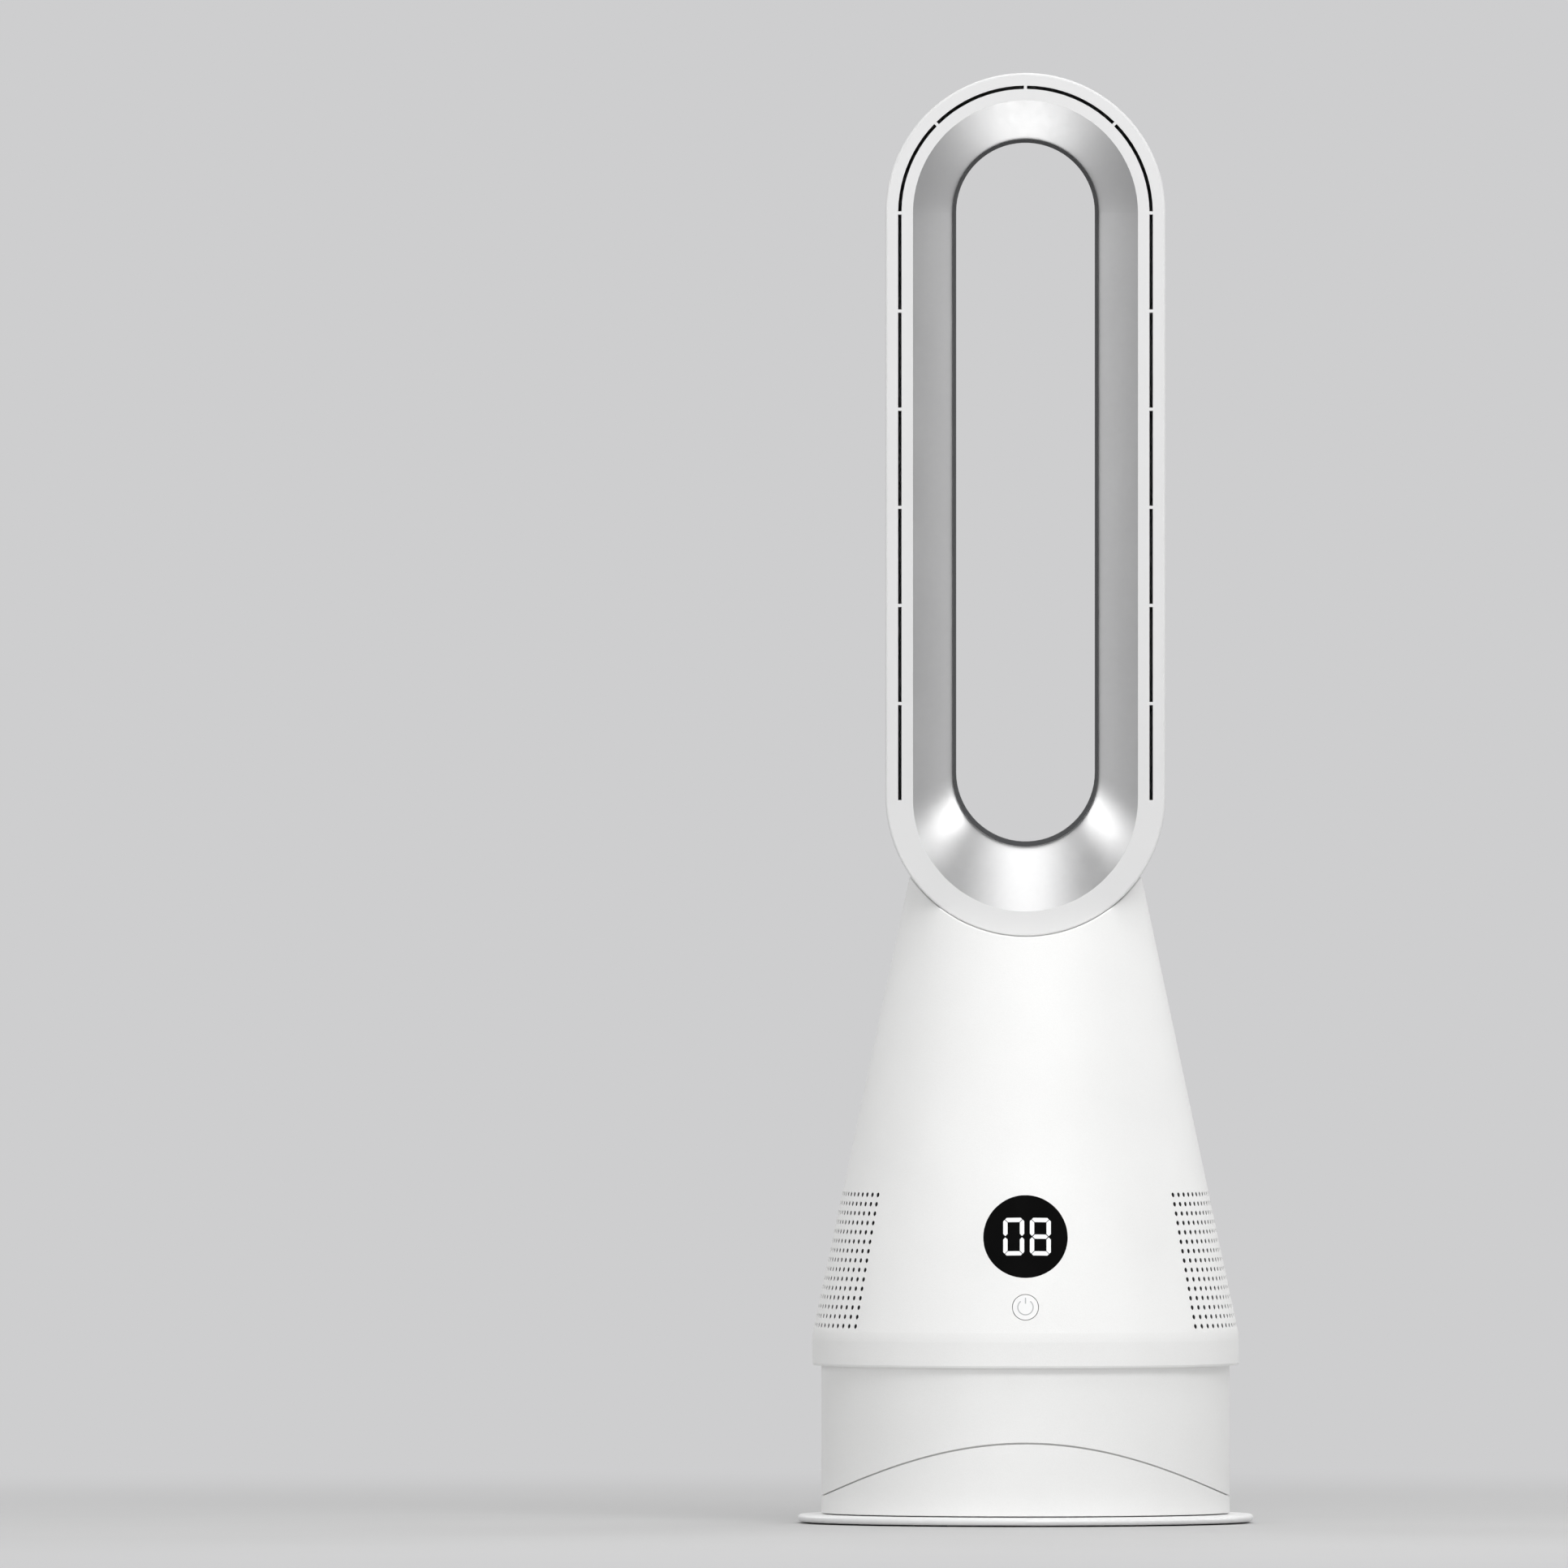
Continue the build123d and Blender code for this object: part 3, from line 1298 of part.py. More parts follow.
sleeve_radius = pod_radius - thin_wall - seat_gap
with BuildPart() as motor_sleeve:
    add(turned(outline(
        (motor_radius - sleeve_lip, pod_bottom + thin_wall),
        (sleeve_radius, pod_bottom + thin_wall),
        (sleeve_radius, motor_bottom + sleeve_reach),
        (motor_radius + seat_gap, motor_bottom + sleeve_reach),
        (motor_radius + seat_gap, motor_bottom),
        (motor_radius - sleeve_lip, motor_bottom),
    )))
save(motor_sleeve.part, "motor_sleeve")

bearing_seat = bearing_radius + seat_gap
with BuildPart() as motor_can:
    add(turned(outline(
        (bearing_seat, motor_bottom),
        (motor_radius, motor_bottom),
        (motor_radius, motor_top),
        (bearing_seat, motor_top),
        (bearing_seat, motor_top - bearing_height),
        (bearing_seat + bearing_wall, motor_top - bearing_height),
        (bearing_seat + bearing_wall, motor_top - can_wall),
        (motor_radius - can_wall, motor_top - can_wall),
        (motor_radius - can_wall, motor_bottom + can_wall),
        (bearing_seat + bearing_wall, motor_bottom + can_wall),
        (bearing_seat + bearing_wall, motor_bottom + bearing_height),
        (bearing_seat, motor_bottom + bearing_height),
    )))
save(motor_can.part, "motor_can")

with BuildPart() as motor_bearings:
    for height in (motor_bottom, motor_top - bearing_height):
        with BuildSketch(Plane.XY.offset(height)):
            Circle(bearing_radius)
            Circle(shaft_radius + run_gap, mode=Mode.SUBTRACT)
        extrude(amount=bearing_height)
save(motor_bearings.part, "motor_bearings")

stator_bottom = motor_bottom + bearing_height + stator_gap
stator_height = motor_height - 2 * (bearing_height + stator_gap)
can_bore = motor_radius - can_wall
pole_inner = rotor_radius + free_gap
pole_outer = can_bore - pole_clearance
with BuildPart() as motor_stator:
    with BuildSketch(Plane.XY.offset(stator_bottom)):
        Circle(can_bore - seat_gap)
        Circle(can_bore - stator_ring, mode=Mode.SUBTRACT)
        with PolarLocations((pole_inner + pole_outer) / 2, pole_count):
            Rectangle(pole_outer - pole_inner, pole_width)
    extrude(amount=stator_height)
save(motor_stator.part, "motor_stator")

shaft_bottom = flange_top - shaft_below
with BuildPart() as motor_rotor:
    with BuildSketch(Plane.XY.offset(shaft_bottom)):
        Circle(shaft_radius)
    extrude(amount=motor_top + shaft_above - shaft_bottom)
    with BuildSketch(Plane.XY.offset(stator_bottom)):
        Circle(rotor_radius)
    extrude(amount=stator_height)
save(motor_rotor.part, "motor_rotor")

with BuildPart() as motor_cap:
    add(turned(outline(
        (0, pod_top),
        (motor_radius, pod_top),
        (motor_radius, motor_top + cap_gap),
        (sleeve_radius, motor_top + cap_gap),
        (sleeve_radius, pod_top),
        (pod_radius, pod_top),
        (pod_radius - cap_shoulder, pod_top + cap_shoulder_height),
        (pod_radius / 2, pod_top + cap_crown_height),
        (0, pod_top + cap_height),
    )))
save(motor_cap.part, "motor_cap")

with BuildSketch() as blade_plan:
    with BuildLine() as blade_line:
        ThreePointArc((blade_root, 0), (blade_middle, blade_bow), (belly_radius + mouth_slope, blade_lean))
    trace(blade_line.line, line_width=blade_thickness)
flare_height = impeller_bottom + nose_height
rim_height = impeller_top - hub_rim_height
hub_radius = pod_radius - free_gap
hub_skin = hub_wall_thickness / 2
with BuildPart() as blades:
    with BuildSketch(Plane.XY.offset(impeller_bottom)):
        with PolarLocations(0, blade_count):
            add(blade_plan.sketch)
    extrude(amount=impeller_height)
    add(turned(outline(
        (nose_radius - hub_skin, impeller_bottom),
        (nose_radius + nose_flare - hub_skin, flare_height),
        (hub_radius - hub_skin, rim_height),
        (hub_radius - hub_skin, impeller_top),
        (duct_radius(impeller_top) - tip_gap, impeller_top),
        (duct_radius(impeller_bottom) - tip_gap, impeller_bottom),
    )), mode=Mode.INTERSECT)
shaft_fit = shaft_radius + seat_gap / 2
core_height = impeller_bottom + hub_core_height
with BuildPart() as impeller:
    add(turned(outline(
        (shaft_fit, impeller_bottom),
        (nose_radius, impeller_bottom),
        (nose_radius + nose_flare, flare_height),
        (hub_radius, rim_height),
        (hub_radius, impeller_top),
        (hub_radius - hub_wall_thickness, impeller_top),
        (nose_radius + nose_flare - hub_skin, core_height),
        (hub_core_radius, core_height),
        (hub_core_radius, impeller_top),
        (shaft_fit, impeller_top),
    )))
    add(blades.part)
save(impeller.part, "impeller")

with BuildPart() as impeller_nut:
    with BuildSketch(Plane.XY.offset(shaft_bottom + nut_grip)):
        RegularPolygon(nut_size, 6)
        Circle(shaft_fit, mode=Mode.SUBTRACT)
    extrude(amount=impeller_bottom - shaft_bottom - nut_grip)
save(impeller_nut.part, "impeller_nut")

# Duct from the housing's round outlet to the opening in the cradle.
cradle_outside = ring_radius + cradle_gap + cradle_wall + seat_gap
neck_square = outlet_height + neck_transition


def neck_solid(radius, half_width, half_depth, corner):
    """Solid that changes from round to square and then runs straight up."""
    with BuildPart() as solid:
        with BuildSketch(Plane.XY.offset(outlet_height)):
            Circle(radius)
        with BuildSketch(Plane.XY.offset(neck_square)):
            RectangleRounded(2 * half_width, 2 * half_depth, corner)
        loft()
        with BuildSketch(Plane.XY.offset(neck_square)):
            RectangleRounded(2 * half_width, 2 * half_depth, corner)
        extrude(amount=ring_low - cradle_outside / 2 - neck_square)
    return solid.part


neck_width = neck_half_width + neck_clearance
neck_depth = neck_half_depth + neck_clearance
with BuildPart() as neck_duct:
    add(neck_solid(outlet_radius + thin_wall, neck_width + thin_wall, neck_depth + thin_wall,
                   neck_corner + thin_wall))
    add(neck_solid(outlet_radius, neck_width, neck_depth, neck_corner), mode=Mode.SUBTRACT)
    with BuildSketch(facing(-collar_radius)):
        with Locations((0, ring_low)):
            Circle(cradle_outside)
    extrude(amount=-2 * collar_radius, mode=Mode.SUBTRACT)
save(neck_duct.part, "neck_duct")
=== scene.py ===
# %% [markdown]
# A bladeless tower fan. A round foot carries a base that turns, a cone-shaped head tilts on that
# base, and a long oval ring on top blows the air. The solid parts were drawn in CAD and are loaded
# here as a fixed frame, so every piece that this lesson adds goes straight to its real place in
# metres. The lesson gives the parts their finishes, adds the printed mark and the dust gauze that
# CAD left out, and lights the fan for a picture.

import json
import math

import bmesh
import bpy
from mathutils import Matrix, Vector


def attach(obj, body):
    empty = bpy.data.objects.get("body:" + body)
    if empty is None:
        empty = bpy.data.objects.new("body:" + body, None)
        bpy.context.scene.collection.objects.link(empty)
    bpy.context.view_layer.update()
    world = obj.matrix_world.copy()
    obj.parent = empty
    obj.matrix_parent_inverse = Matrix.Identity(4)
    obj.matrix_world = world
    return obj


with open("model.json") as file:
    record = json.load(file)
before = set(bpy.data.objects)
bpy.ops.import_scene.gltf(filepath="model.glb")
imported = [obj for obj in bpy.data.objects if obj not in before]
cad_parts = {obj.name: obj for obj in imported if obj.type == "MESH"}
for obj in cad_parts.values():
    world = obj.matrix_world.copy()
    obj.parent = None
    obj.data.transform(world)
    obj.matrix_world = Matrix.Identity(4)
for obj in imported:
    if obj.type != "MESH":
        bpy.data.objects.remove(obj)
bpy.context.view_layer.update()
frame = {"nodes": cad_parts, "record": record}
nodes = frame["nodes"]

# %% [markdown]
# The fan's sizes come back again and again, so they get names first. The cone is the surface that
# the holes, the mark and the gauze are measured from. It is widest at the collar and narrows by
# the same amount for every millimetre of height. One function works out its radius, which keeps
# all three on the same skin.

# %% Sizes of the cone
mm = 0.001
collar_radius = 117.1 * mm
collar_top = 103.5 * mm
cone_angle = math.radians(12.0)


def cone_radius(height):
    """Radius of the cone's outer skin at a height."""
    return collar_radius - math.tan(cone_angle) * (height - collar_top)


print("the cone is", round(2 * cone_radius(collar_top) / mm, 1), "mm wide at the collar")

# %% [markdown]
# Blender draws a finish as a tree of nodes, and long trees are hard to read in code. A small class
# that wraps one socket helps: with the arithmetic signs overloaded, `1 - mask` or
# `grain * 0.5 + 0.2` writes the Math nodes by itself. Every other kind of node comes from one
# method, which sets the node's options before its sockets.

# %% A socket that does arithmetic
class Wire:
    """An output socket of a node tree. Arithmetic on it adds Math nodes."""

    def __init__(self, tree, socket=None):
        self.tree = tree
        self.socket = socket

    def node(self, kind, settings=None, inputs=None, output=0):
        """Add a node, set its options and then its sockets, and return one of its outputs."""
        made = self.tree.nodes.new("ShaderNode" + kind)
        for option, value in (settings or {}).items():
            setattr(made, option, value)
        for name, value in (inputs or {}).items():
            if isinstance(value, Wire):
                self.tree.links.new(value.socket, made.inputs[name])
            else:
                made.inputs[name].default_value = value
        return Wire(self.tree, made.outputs[output])

    def maths(self, operation, *values):
        """Add a Math node that works on the values."""
        return self.node("Math", {"operation": operation}, dict(enumerate(values)))

    def __add__(self, other):
        return self.maths("ADD", self, other)

    def __sub__(self, other):
        return self.maths("SUBTRACT", self, other)

    def __rsub__(self, other):
        return self.maths("SUBTRACT", other, self)

    def __mul__(self, other):
        return self.maths("MULTIPLY", self, other)

    __radd__ = __add__
    __rmul__ = __mul__


def linear(level):
    """Linear light of one screen level from 0 to 255, by the curve that screens use."""
    share = level / 255
    return ((share + 0.055) / 1.055) ** 2.4 if level > 10 else share / 12.92


def tone(red, green=None, blue=None):
    """Colour from three screen levels, or grey from one, in the linear values that nodes use."""
    levels = (red, red if green is None else green, red if blue is None else blue)
    return (*(linear(level) for level in levels), 1.0)


print("a screen grey of 226 is", round(tone(226)[0], 3), "in linear light")

# %% [markdown]
# Nearly every surface here is a moulded or machined material with the same anatomy: a base colour
# that drifts a little, a grain in the gloss, and a fine relief in the skin. One function can make
# all of these from noise in the part's own coordinates. Noise was chosen over images because it
# has no seams, needs no unwrapping, and stays sharp however close the camera comes.

# %% The common finish
finishes = {}
drift_scale = 14.0
drift_share, grain_share = 0.6, 0.4
fine_detail = 3.0
gloss_spread = 0.08


def start_finish(name):
    """Make an empty material and return its wire, its surface coordinates and its shader."""
    material = bpy.data.materials.new(name)
    material.use_nodes = True
    shader = material.node_tree.nodes["Principled BSDF"]
    wire = Wire(material.node_tree)
    finishes[name] = material
    return wire, wire.node("TexCoord", output="Object"), shader


def feed(shader, **sockets):
    """Set or link the shader's sockets. An underscore in a name stands for a space."""
    for name, value in sockets.items():
        socket = shader.inputs[name.replace("_", " ")]
        if isinstance(value, Wire):
            value.tree.links.new(value.socket, socket)
        else:
            socket.default_value = value


def noise(wire, place, scale, detail=2.0, stretch=(1, 1, 1)):
    """Smooth noise, about 0.3 to 0.7, with grains of 1 / scale metres, longer where stretch is small."""
    if stretch != (1, 1, 1):
        place = wire.node("Mapping", inputs={"Vector": place, "Scale": stretch})
    return wire.node("TexNoise", inputs={"Vector": place, "Scale": scale, "Detail": detail})


def blend(wire, share, first, second):
    """Mix two colours. A Mix node takes its colours at inputs 6 and 7 and gives output 2."""
    return wire.node("Mix", {"data_type": "RGBA"}, {0: share, 6: first, 7: second}, output=2)


def bump(wire, height, depth):
    """Turn a height of 0 to 1 into a relief that is that deep in metres."""
    return wire.node("Bump", inputs={"Strength": 1.0, "Distance": depth, "Height": height})


def grained(
    name, light, dark, rough, grain, relief, spread=gloss_spread, metallic=0.0, stretch=(1, 1, 1)
):
    """A finish with a drifting colour, a gloss that spreads about a roughness, and a fine relief."""
    wire, place, shader = start_finish(name)
    drift = noise(wire, place, drift_scale)
    fine = noise(wire, place, grain, fine_detail, stretch)
    feed(
        shader,
        Base_Color=blend(wire, drift * drift_share + fine * grain_share, light, dark),
        Roughness=rough - spread / 2 + fine * spread,
        Metallic=metallic,
        Normal=bump(wire, fine, relief),
    )


print("helpers for finishes are ready")

# %% [markdown]
# The housing is white ABS from a spark-eroded mould: matt, with a skin like very fine sand. The
# ring, the foot and the button are the same plastic from smoother moulds. The grain is under a
# millimetre, so it shows as a soft speckle and never as lumps. It could be displaced for real, but
# at this size a bump does the same with no extra faces. Each line gives the lighter and the darker
# colour, the roughness, the grains per metre and the depth of the relief.

# %% White plastics
housing_light, housing_dark = tone(249, 249, 248), tone(229, 229, 228)
housing_rough, housing_grain, housing_relief = 0.56, 1500, 0.05 * mm
smooth_grain, smooth_relief = 2600, 0.01 * mm
grained("white_housing", housing_light, housing_dark, housing_rough, housing_grain, housing_relief)
grained("ring_white", tone(220), tone(212), 0.60, smooth_grain, smooth_relief)
grained("foot_white", tone(236), tone(232), 0.42, smooth_grain, smooth_relief)
grained("button_white", tone(241), tone(237), 0.45, smooth_grain, smooth_relief)
print("white plastics:", ", ".join(finishes))

# %% [markdown]
# The air goes in through hundreds of small holes on both sides of the cone, and from a step away
# each one reads as a dark dot. The skin is white and so are the walls of the holes, but little light
# reaches into them, so their shade is painted into the colour here. The shader has to know how deep
# a point lies under the skin. The function for the cone's radius can tell it: given a wire as the
# height, its arithmetic writes nodes. A short ramp over that depth turns the white into a dark grey
# of painted shade, and so the shade follows every hole by itself and needs no picture of dots.

# %% White panel with painted shade in its holes
wire, place, shader = start_finish("intake_white")
level = wire.node("VectorMath", {"operation": "MULTIPLY"}, {0: place, 1: (1, 1, 0)})
from_axis = wire.node("VectorMath", {"operation": "LENGTH"}, {0: level}, output="Value")
height = wire.node("SeparateXYZ", inputs={0: place}, output="Z")
depth = cone_radius(height) - from_axis
# dark grey painted on the hole walls as their shade, where little light reaches
painted_hole_shade = tone(46, 46, 48)
dark_from, dark_below = 0.15 * mm, 0.45 * mm
hole_shade_mask = wire.node("MapRange", inputs={0: depth, 1: dark_from, 2: dark_below, 3: 0.0, 4: 1.0})
fine = noise(wire, place, housing_grain, fine_detail)
skin = blend(wire, fine, housing_light, housing_dark)
feed(
    shader,
    Base_Color=blend(wire, hole_shade_mask, skin, painted_hole_shade),
    Roughness=housing_rough - gloss_spread / 2 + fine * gloss_spread,
    Normal=bump(wire, fine, housing_relief),
)
print("hole walls are fully dark", round(dark_below / mm, 2), "mm under the skin")

# %% [markdown]
# Inside the ring lies a silver liner, a smooth skin with a satin metal coat that draws the light in
# long soft streaks. Streaks come from noise that is squeezed across the flow of air and drawn out
# along it, from front to back. They change the gloss and hardly the colour, which is how a real
# coat behaves.

# %% Silver liner and grey throat
along_air = (1, 0.04, 1)
wire, place, shader = start_finish("silver_liner")
streak = noise(wire, place, 260, fine_detail, along_air)
cloud = noise(wire, place, 22)
feed(
    shader,
    Base_Color=blend(wire, streak * 0.5 + cloud * 0.5, tone(206), tone(222)),
    Metallic=1.0,
    Roughness=streak * 0.10 + cloud * 0.08 + 0.32,
    Normal=bump(wire, streak, 0.012 * mm),
)
# The throat's dark grey is partly its own trim colour and partly painted shade from inside the nozzle.
grained("throat_grey", tone(46, 47, 49), tone(39, 40, 42), 0.5, 1800, 0.02 * mm)
print("the liner's gloss runs along the air's way")

# %% [markdown]
# The small parts each have a finish of their own: soft black rubber in the pads and seals,
# zinc-plated screws, cream acetal gears, a porous bronze bush, cast iron in the weight, and dark
# grey plastic for everything that guides the air inside. The same function makes them. Their
# colours, grain and relief were chosen for each material.

# %% Rubber, metals and inner plastics
grained("pad_rubber", tone(52, 52, 54), tone(38, 38, 40), 0.82, 1200, 0.06 * mm)
grained("plated_steel", tone(196, 196, 194), tone(176, 176, 174), 0.28, 900, 0.006 * mm, metallic=1.0)
grained("gear_acetal", tone(232, 228, 214), tone(222, 217, 200), 0.38, 700, 0.012 * mm)
grained("bush_bronze", tone(188, 150, 96), tone(150, 112, 66), 0.45, 2200, 0.03 * mm, metallic=1.0)
iron_light, iron_dark = tone(92, 88, 84), tone(60, 57, 54)
grained("ballast_iron", iron_light, iron_dark, 0.72, 600, 0.18 * mm, spread=0.2, metallic=0.9)
grained("socket_black", tone(30, 30, 32), tone(20, 20, 22), 0.48, 1600, 0.03 * mm)
inner_light, inner_dark = tone(70, 71, 74), tone(56, 57, 60)
grained("inner_plastic", inner_light, inner_dark, 0.60, 900, 0.04 * mm, stretch=(1, 1, 0.4))
grained("impeller_plastic", tone(96, 97, 100), tone(78, 79, 82), 0.52, 800, 0.04 * mm)
print(len(finishes), "finishes so far")

# %% [markdown]
# The display window is a disc of smoked acrylic, flush with the cone, and its digits glow white
# through it. Such windows have a coat that kills reflections, so its roughness is low and its
# mirror strength is low as well. The digits are separate bars in the window. They glow by
# themselves with slightly uneven brightness, as lit segments do. Glow and reflected light add up to
# about full white, which is why the bars have a dark colour under their glow.

# %% Display
window_mirror = 0.06
wire, place, shader = start_finish("display_black")
haze = noise(wire, place, 60)
feed(
    shader,
    Base_Color=blend(wire, haze, tone(4), tone(9)),
    Roughness=haze * 0.05 + 0.06,
    Specular_IOR_Level=window_mirror,
    Normal=bump(wire, haze, 0.01 * mm),
)
digit_glow = 0.85
wire, place, shader = start_finish("digit_white")
glow = noise(wire, place, 220)
feed(
    shader,
    Base_Color=blend(wire, glow, tone(95), tone(110)),
    Roughness=glow * 0.1 + 0.3,
    Emission_Color=blend(wire, glow, tone(246, 248, 250), tone(255)),
    Emission_Strength=digit_glow,
)
print("display finishes are ready")

# %% [markdown]
# Two parts inside have a pattern and not just a grain. The control board is green resist over
# copper tracks, which the thin lines of a brick texture suggest well enough. The stator is a stack
# of thin iron sheets, so a wave along its height draws the sheets as fine lines in colour and
# relief.

# %% Board and stator
track_width, track_length, track_pitch = 0.18 * mm, 6 * mm, 1.3 * mm
wire, place, shader = start_finish("board_green")
bricks = {"Brick Width": track_length, "Row Height": track_pitch, "Mortar Size": track_width}
tracks = wire.node("TexBrick", inputs={"Vector": place, "Scale": 1.0, **bricks}, output="Fac")
mottle = noise(wire, place, 300)
feed(
    shader,
    Base_Color=blend(wire, tracks * 0.6 + mottle * 0.3, tone(22, 92, 52), tone(86, 142, 84)),
    Roughness=mottle * 0.15 + 0.3,
    Normal=bump(wire, tracks, 0.03 * mm),
)
wire, place, shader = start_finish("stator_iron")
stack = {"Vector": place, "Scale": 320.0, "Distortion": 0.4}
sheets = wire.node("TexWave", {"bands_direction": "Z"}, stack)
rust = noise(wire, place, 500)
feed(
    shader,
    Base_Color=blend(wire, sheets * 0.6 + rust * 0.4, tone(96, 98, 104), tone(140, 142, 146)),
    Metallic=1.0,
    Roughness=sheets * 0.15 + 0.35,
    Normal=bump(wire, sheets, 0.05 * mm),
)
print(len(finishes), "finishes in all CAD parts")

# %% [markdown]
# The imported record says which material each CAD part is made of. Reading the finish of a part from
# that list means that no part can be forgotten. The ring gets a smoother white than its slot says,
# because the real one has no grain there, and the two intake panels get the white with shade
# painted into their holes.

# %% Give every CAD part its finish
special = {
    "ring_face": "ring_white",
    "ring_shell": "ring_white",
    "intake_grille_left": "intake_white",
    "intake_grille_right": "intake_white",
}
for row in frame["record"]["subparts"]:
    part = nodes[row["node"]]
    part.data.materials.clear()
    part.data.materials.append(finishes[special.get(row["node"], row["material_slot"])])

# %% [markdown]
# The pieces that CAD left out are thin strips that follow the cone. A strip could be a curve with a
# profile, but then its corners would lie where the curve puts them. Here a section with four
# corners is worked out at each step along the way and joined to the next, so every corner sits at
# its exact depth and the mesh is closed. Each piece says which body it rides on.

# %% Pieces made from sections
def strip(sections):
    """Closed bar through a row of four-cornered sections."""
    count = len(sections)
    faces = [[0, 1, 2, 3], [4 * count - 1, 4 * count - 2, 4 * count - 3, 4 * count - 4]]
    for step in range(count - 1):
        here, there = 4 * step, 4 * step + 4
        faces += [[here + k, here + (k + 1) % 4, there + (k + 1) % 4, there + k] for k in range(4)]
    return [corner for section in sections for corner in section], faces


def mesh_piece(name, vertices, faces, finish, body, slot):
    """Turn points and faces into a piece that rides on a CAD body."""
    mesh = bpy.data.meshes.new(name)
    mesh.from_pydata([tuple(v) for v in vertices], [], faces)
    mesh.validate()
    work = bmesh.new()
    work.from_mesh(mesh)
    bmesh.ops.recalc_face_normals(work, faces=work.faces)
    work.to_mesh(mesh)
    work.free()
    piece = bpy.data.objects.new(name, mesh)
    bpy.context.scene.collection.objects.link(piece)
    mesh.materials.append(finishes[finish])
    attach(piece, body)
    print(name, "has", len(mesh.polygons), "faces")


print("helpers for added pieces are ready")

# %% [markdown]
# The power mark on the button is the usual sign of a broken circle with a bar, printed in a soft
# grey ink. The ring round it is the gap that lets the button move. A print could be a mask in the
# material, but a thin inlay in mesh keeps its edge crisp at any distance and goes with the button
# when it is pressed.

# %% Power mark
button_height = 120.2 * mm
ink, ink_root = 0.04 * mm, 0.2 * mm
arc_outer, arc_inner = 4.5 * mm, 3.9 * mm
gap_half, arc_steps = 38, 72
bar_half, bar_low, bar_high = 0.32 * mm, 2.0 * mm, 5.3 * mm
bar_steps = 8


def on_button(across, up, lift):
    """Point on the cone's skin, beside and above the button's middle, lifted off the skin."""
    z = button_height + up * math.cos(cone_angle)
    radius = cone_radius(z) + lift / math.cos(cone_angle)
    return Vector((across, -math.sqrt(radius**2 - across**2), z))


def inlay(left, right):
    """Bar between two lines of points, from under the button's face to a thin layer of ink on it."""
    sections = []
    for a, b in zip(left, right):
        corners = ((a, -ink_root), (b, -ink_root), (b, ink), (a, ink))
        sections.append([on_button(*point, lift) for point, lift in corners])
    return strip(sections)


def arc(radius):
    """Points on the mark's broken circle, from one side of the gap at its top to the other."""
    sweep = 360 - 2 * gap_half
    angles = [math.radians(gap_half + sweep * k / arc_steps) for k in range(arc_steps + 1)]
    return [(radius * math.sin(a), radius * math.cos(a)) for a in angles]


def upright(across):
    """Points up one side of the mark's bar."""
    rises = [bar_low + (bar_high - bar_low) * k / bar_steps for k in range(bar_steps + 1)]
    return [(across, up) for up in rises]


grained("mark_grey", tone(186, 187, 188), tone(178, 179, 180), 0.5, 2200, 0.01 * mm)
circle, bar = inlay(arc(arc_outer), arc(arc_inner)), inlay(upright(-bar_half), upright(bar_half))
mesh_piece("power_circle", *circle, "mark_grey", "button", "button_white")
mesh_piece("power_bar", *bar, "mark_grey", "button", "button_white")
print("power mark is", round(2 * arc_outer / mm, 1), "mm across")

# %% [markdown]
# Behind each intake panel lies a thin sheet of black gauze that keeps dust out. It is also why the
# holes read dark from every side: without it, the look through one panel would go on through the
# panel opposite. The sheet is a strip of the same cone, a little smaller, and it is bent in mesh so
# that it keeps the same small gap all the way.

# %% Dust gauze
wall = 2.5 * mm
gauze_gap, gauze_thickness = 0.3 * mm, 0.5 * mm
gauze_low, gauze_high = 107.5 * mm, 183.0 * mm
gauze_half, gauze_steps = 37.8, 60


def gauze(middle):
    """Sheet behind an intake panel whose middle lies at an angle in degrees from the right."""
    outer = wall + gauze_gap
    inner = outer + gauze_thickness
    corners = ((outer, gauze_low), (outer, gauze_high), (inner, gauze_high), (inner, gauze_low))
    section = [(cone_radius(z) - under / math.cos(cone_angle), z) for under, z in corners]
    sections = []
    for step in range(gauze_steps + 1):
        angle = math.radians(middle - gauze_half + 2 * gauze_half * step / gauze_steps)
        sections.append([Vector((r * math.cos(angle), r * math.sin(angle), z)) for r, z in section])
    return strip(sections)


grained("gauze_black", tone(40, 40, 42), tone(24, 24, 25), 0.85, 1800, 0.1 * mm)
for name, middle in (("gauze_right", 0), ("gauze_left", 180)):
    mesh_piece(name, *gauze(middle), "gauze_black", "head", "inner_plastic")
print("gauze is", round((gauze_high - gauze_low) / mm, 1), "mm high")

# %% [markdown]
# The set is as plain as a set can be: one wide pale floor and a world of the same pale grey. A
# short way out from the fan the floor fades into a glow of exactly that grey, so no horizon shows.
# The fade depends on the distance from the fan and not on the camera, so every view is the same.

# %% Floor
backdrop = tone(206, 206, 207)
floor_half = 120.0
fade_from, fade_to = 0.35, 1.6


def floor_sheet(half):
    """Square sheet of quads, finer near the middle."""
    lines = [-half, -half / 4, -half / 16, half / 16, half / 4, half]
    count = len(lines)
    vertices = [(x, y, 0.0) for y in lines for x in lines]
    faces = []
    for row in range(count - 1):
        for corner in range(row * count, (row + 1) * count - 1):
            faces.append([corner, corner + 1, corner + count + 1, corner + count])
    mesh = bpy.data.meshes.new("floor")
    mesh.from_pydata(vertices, [], faces)
    return mesh


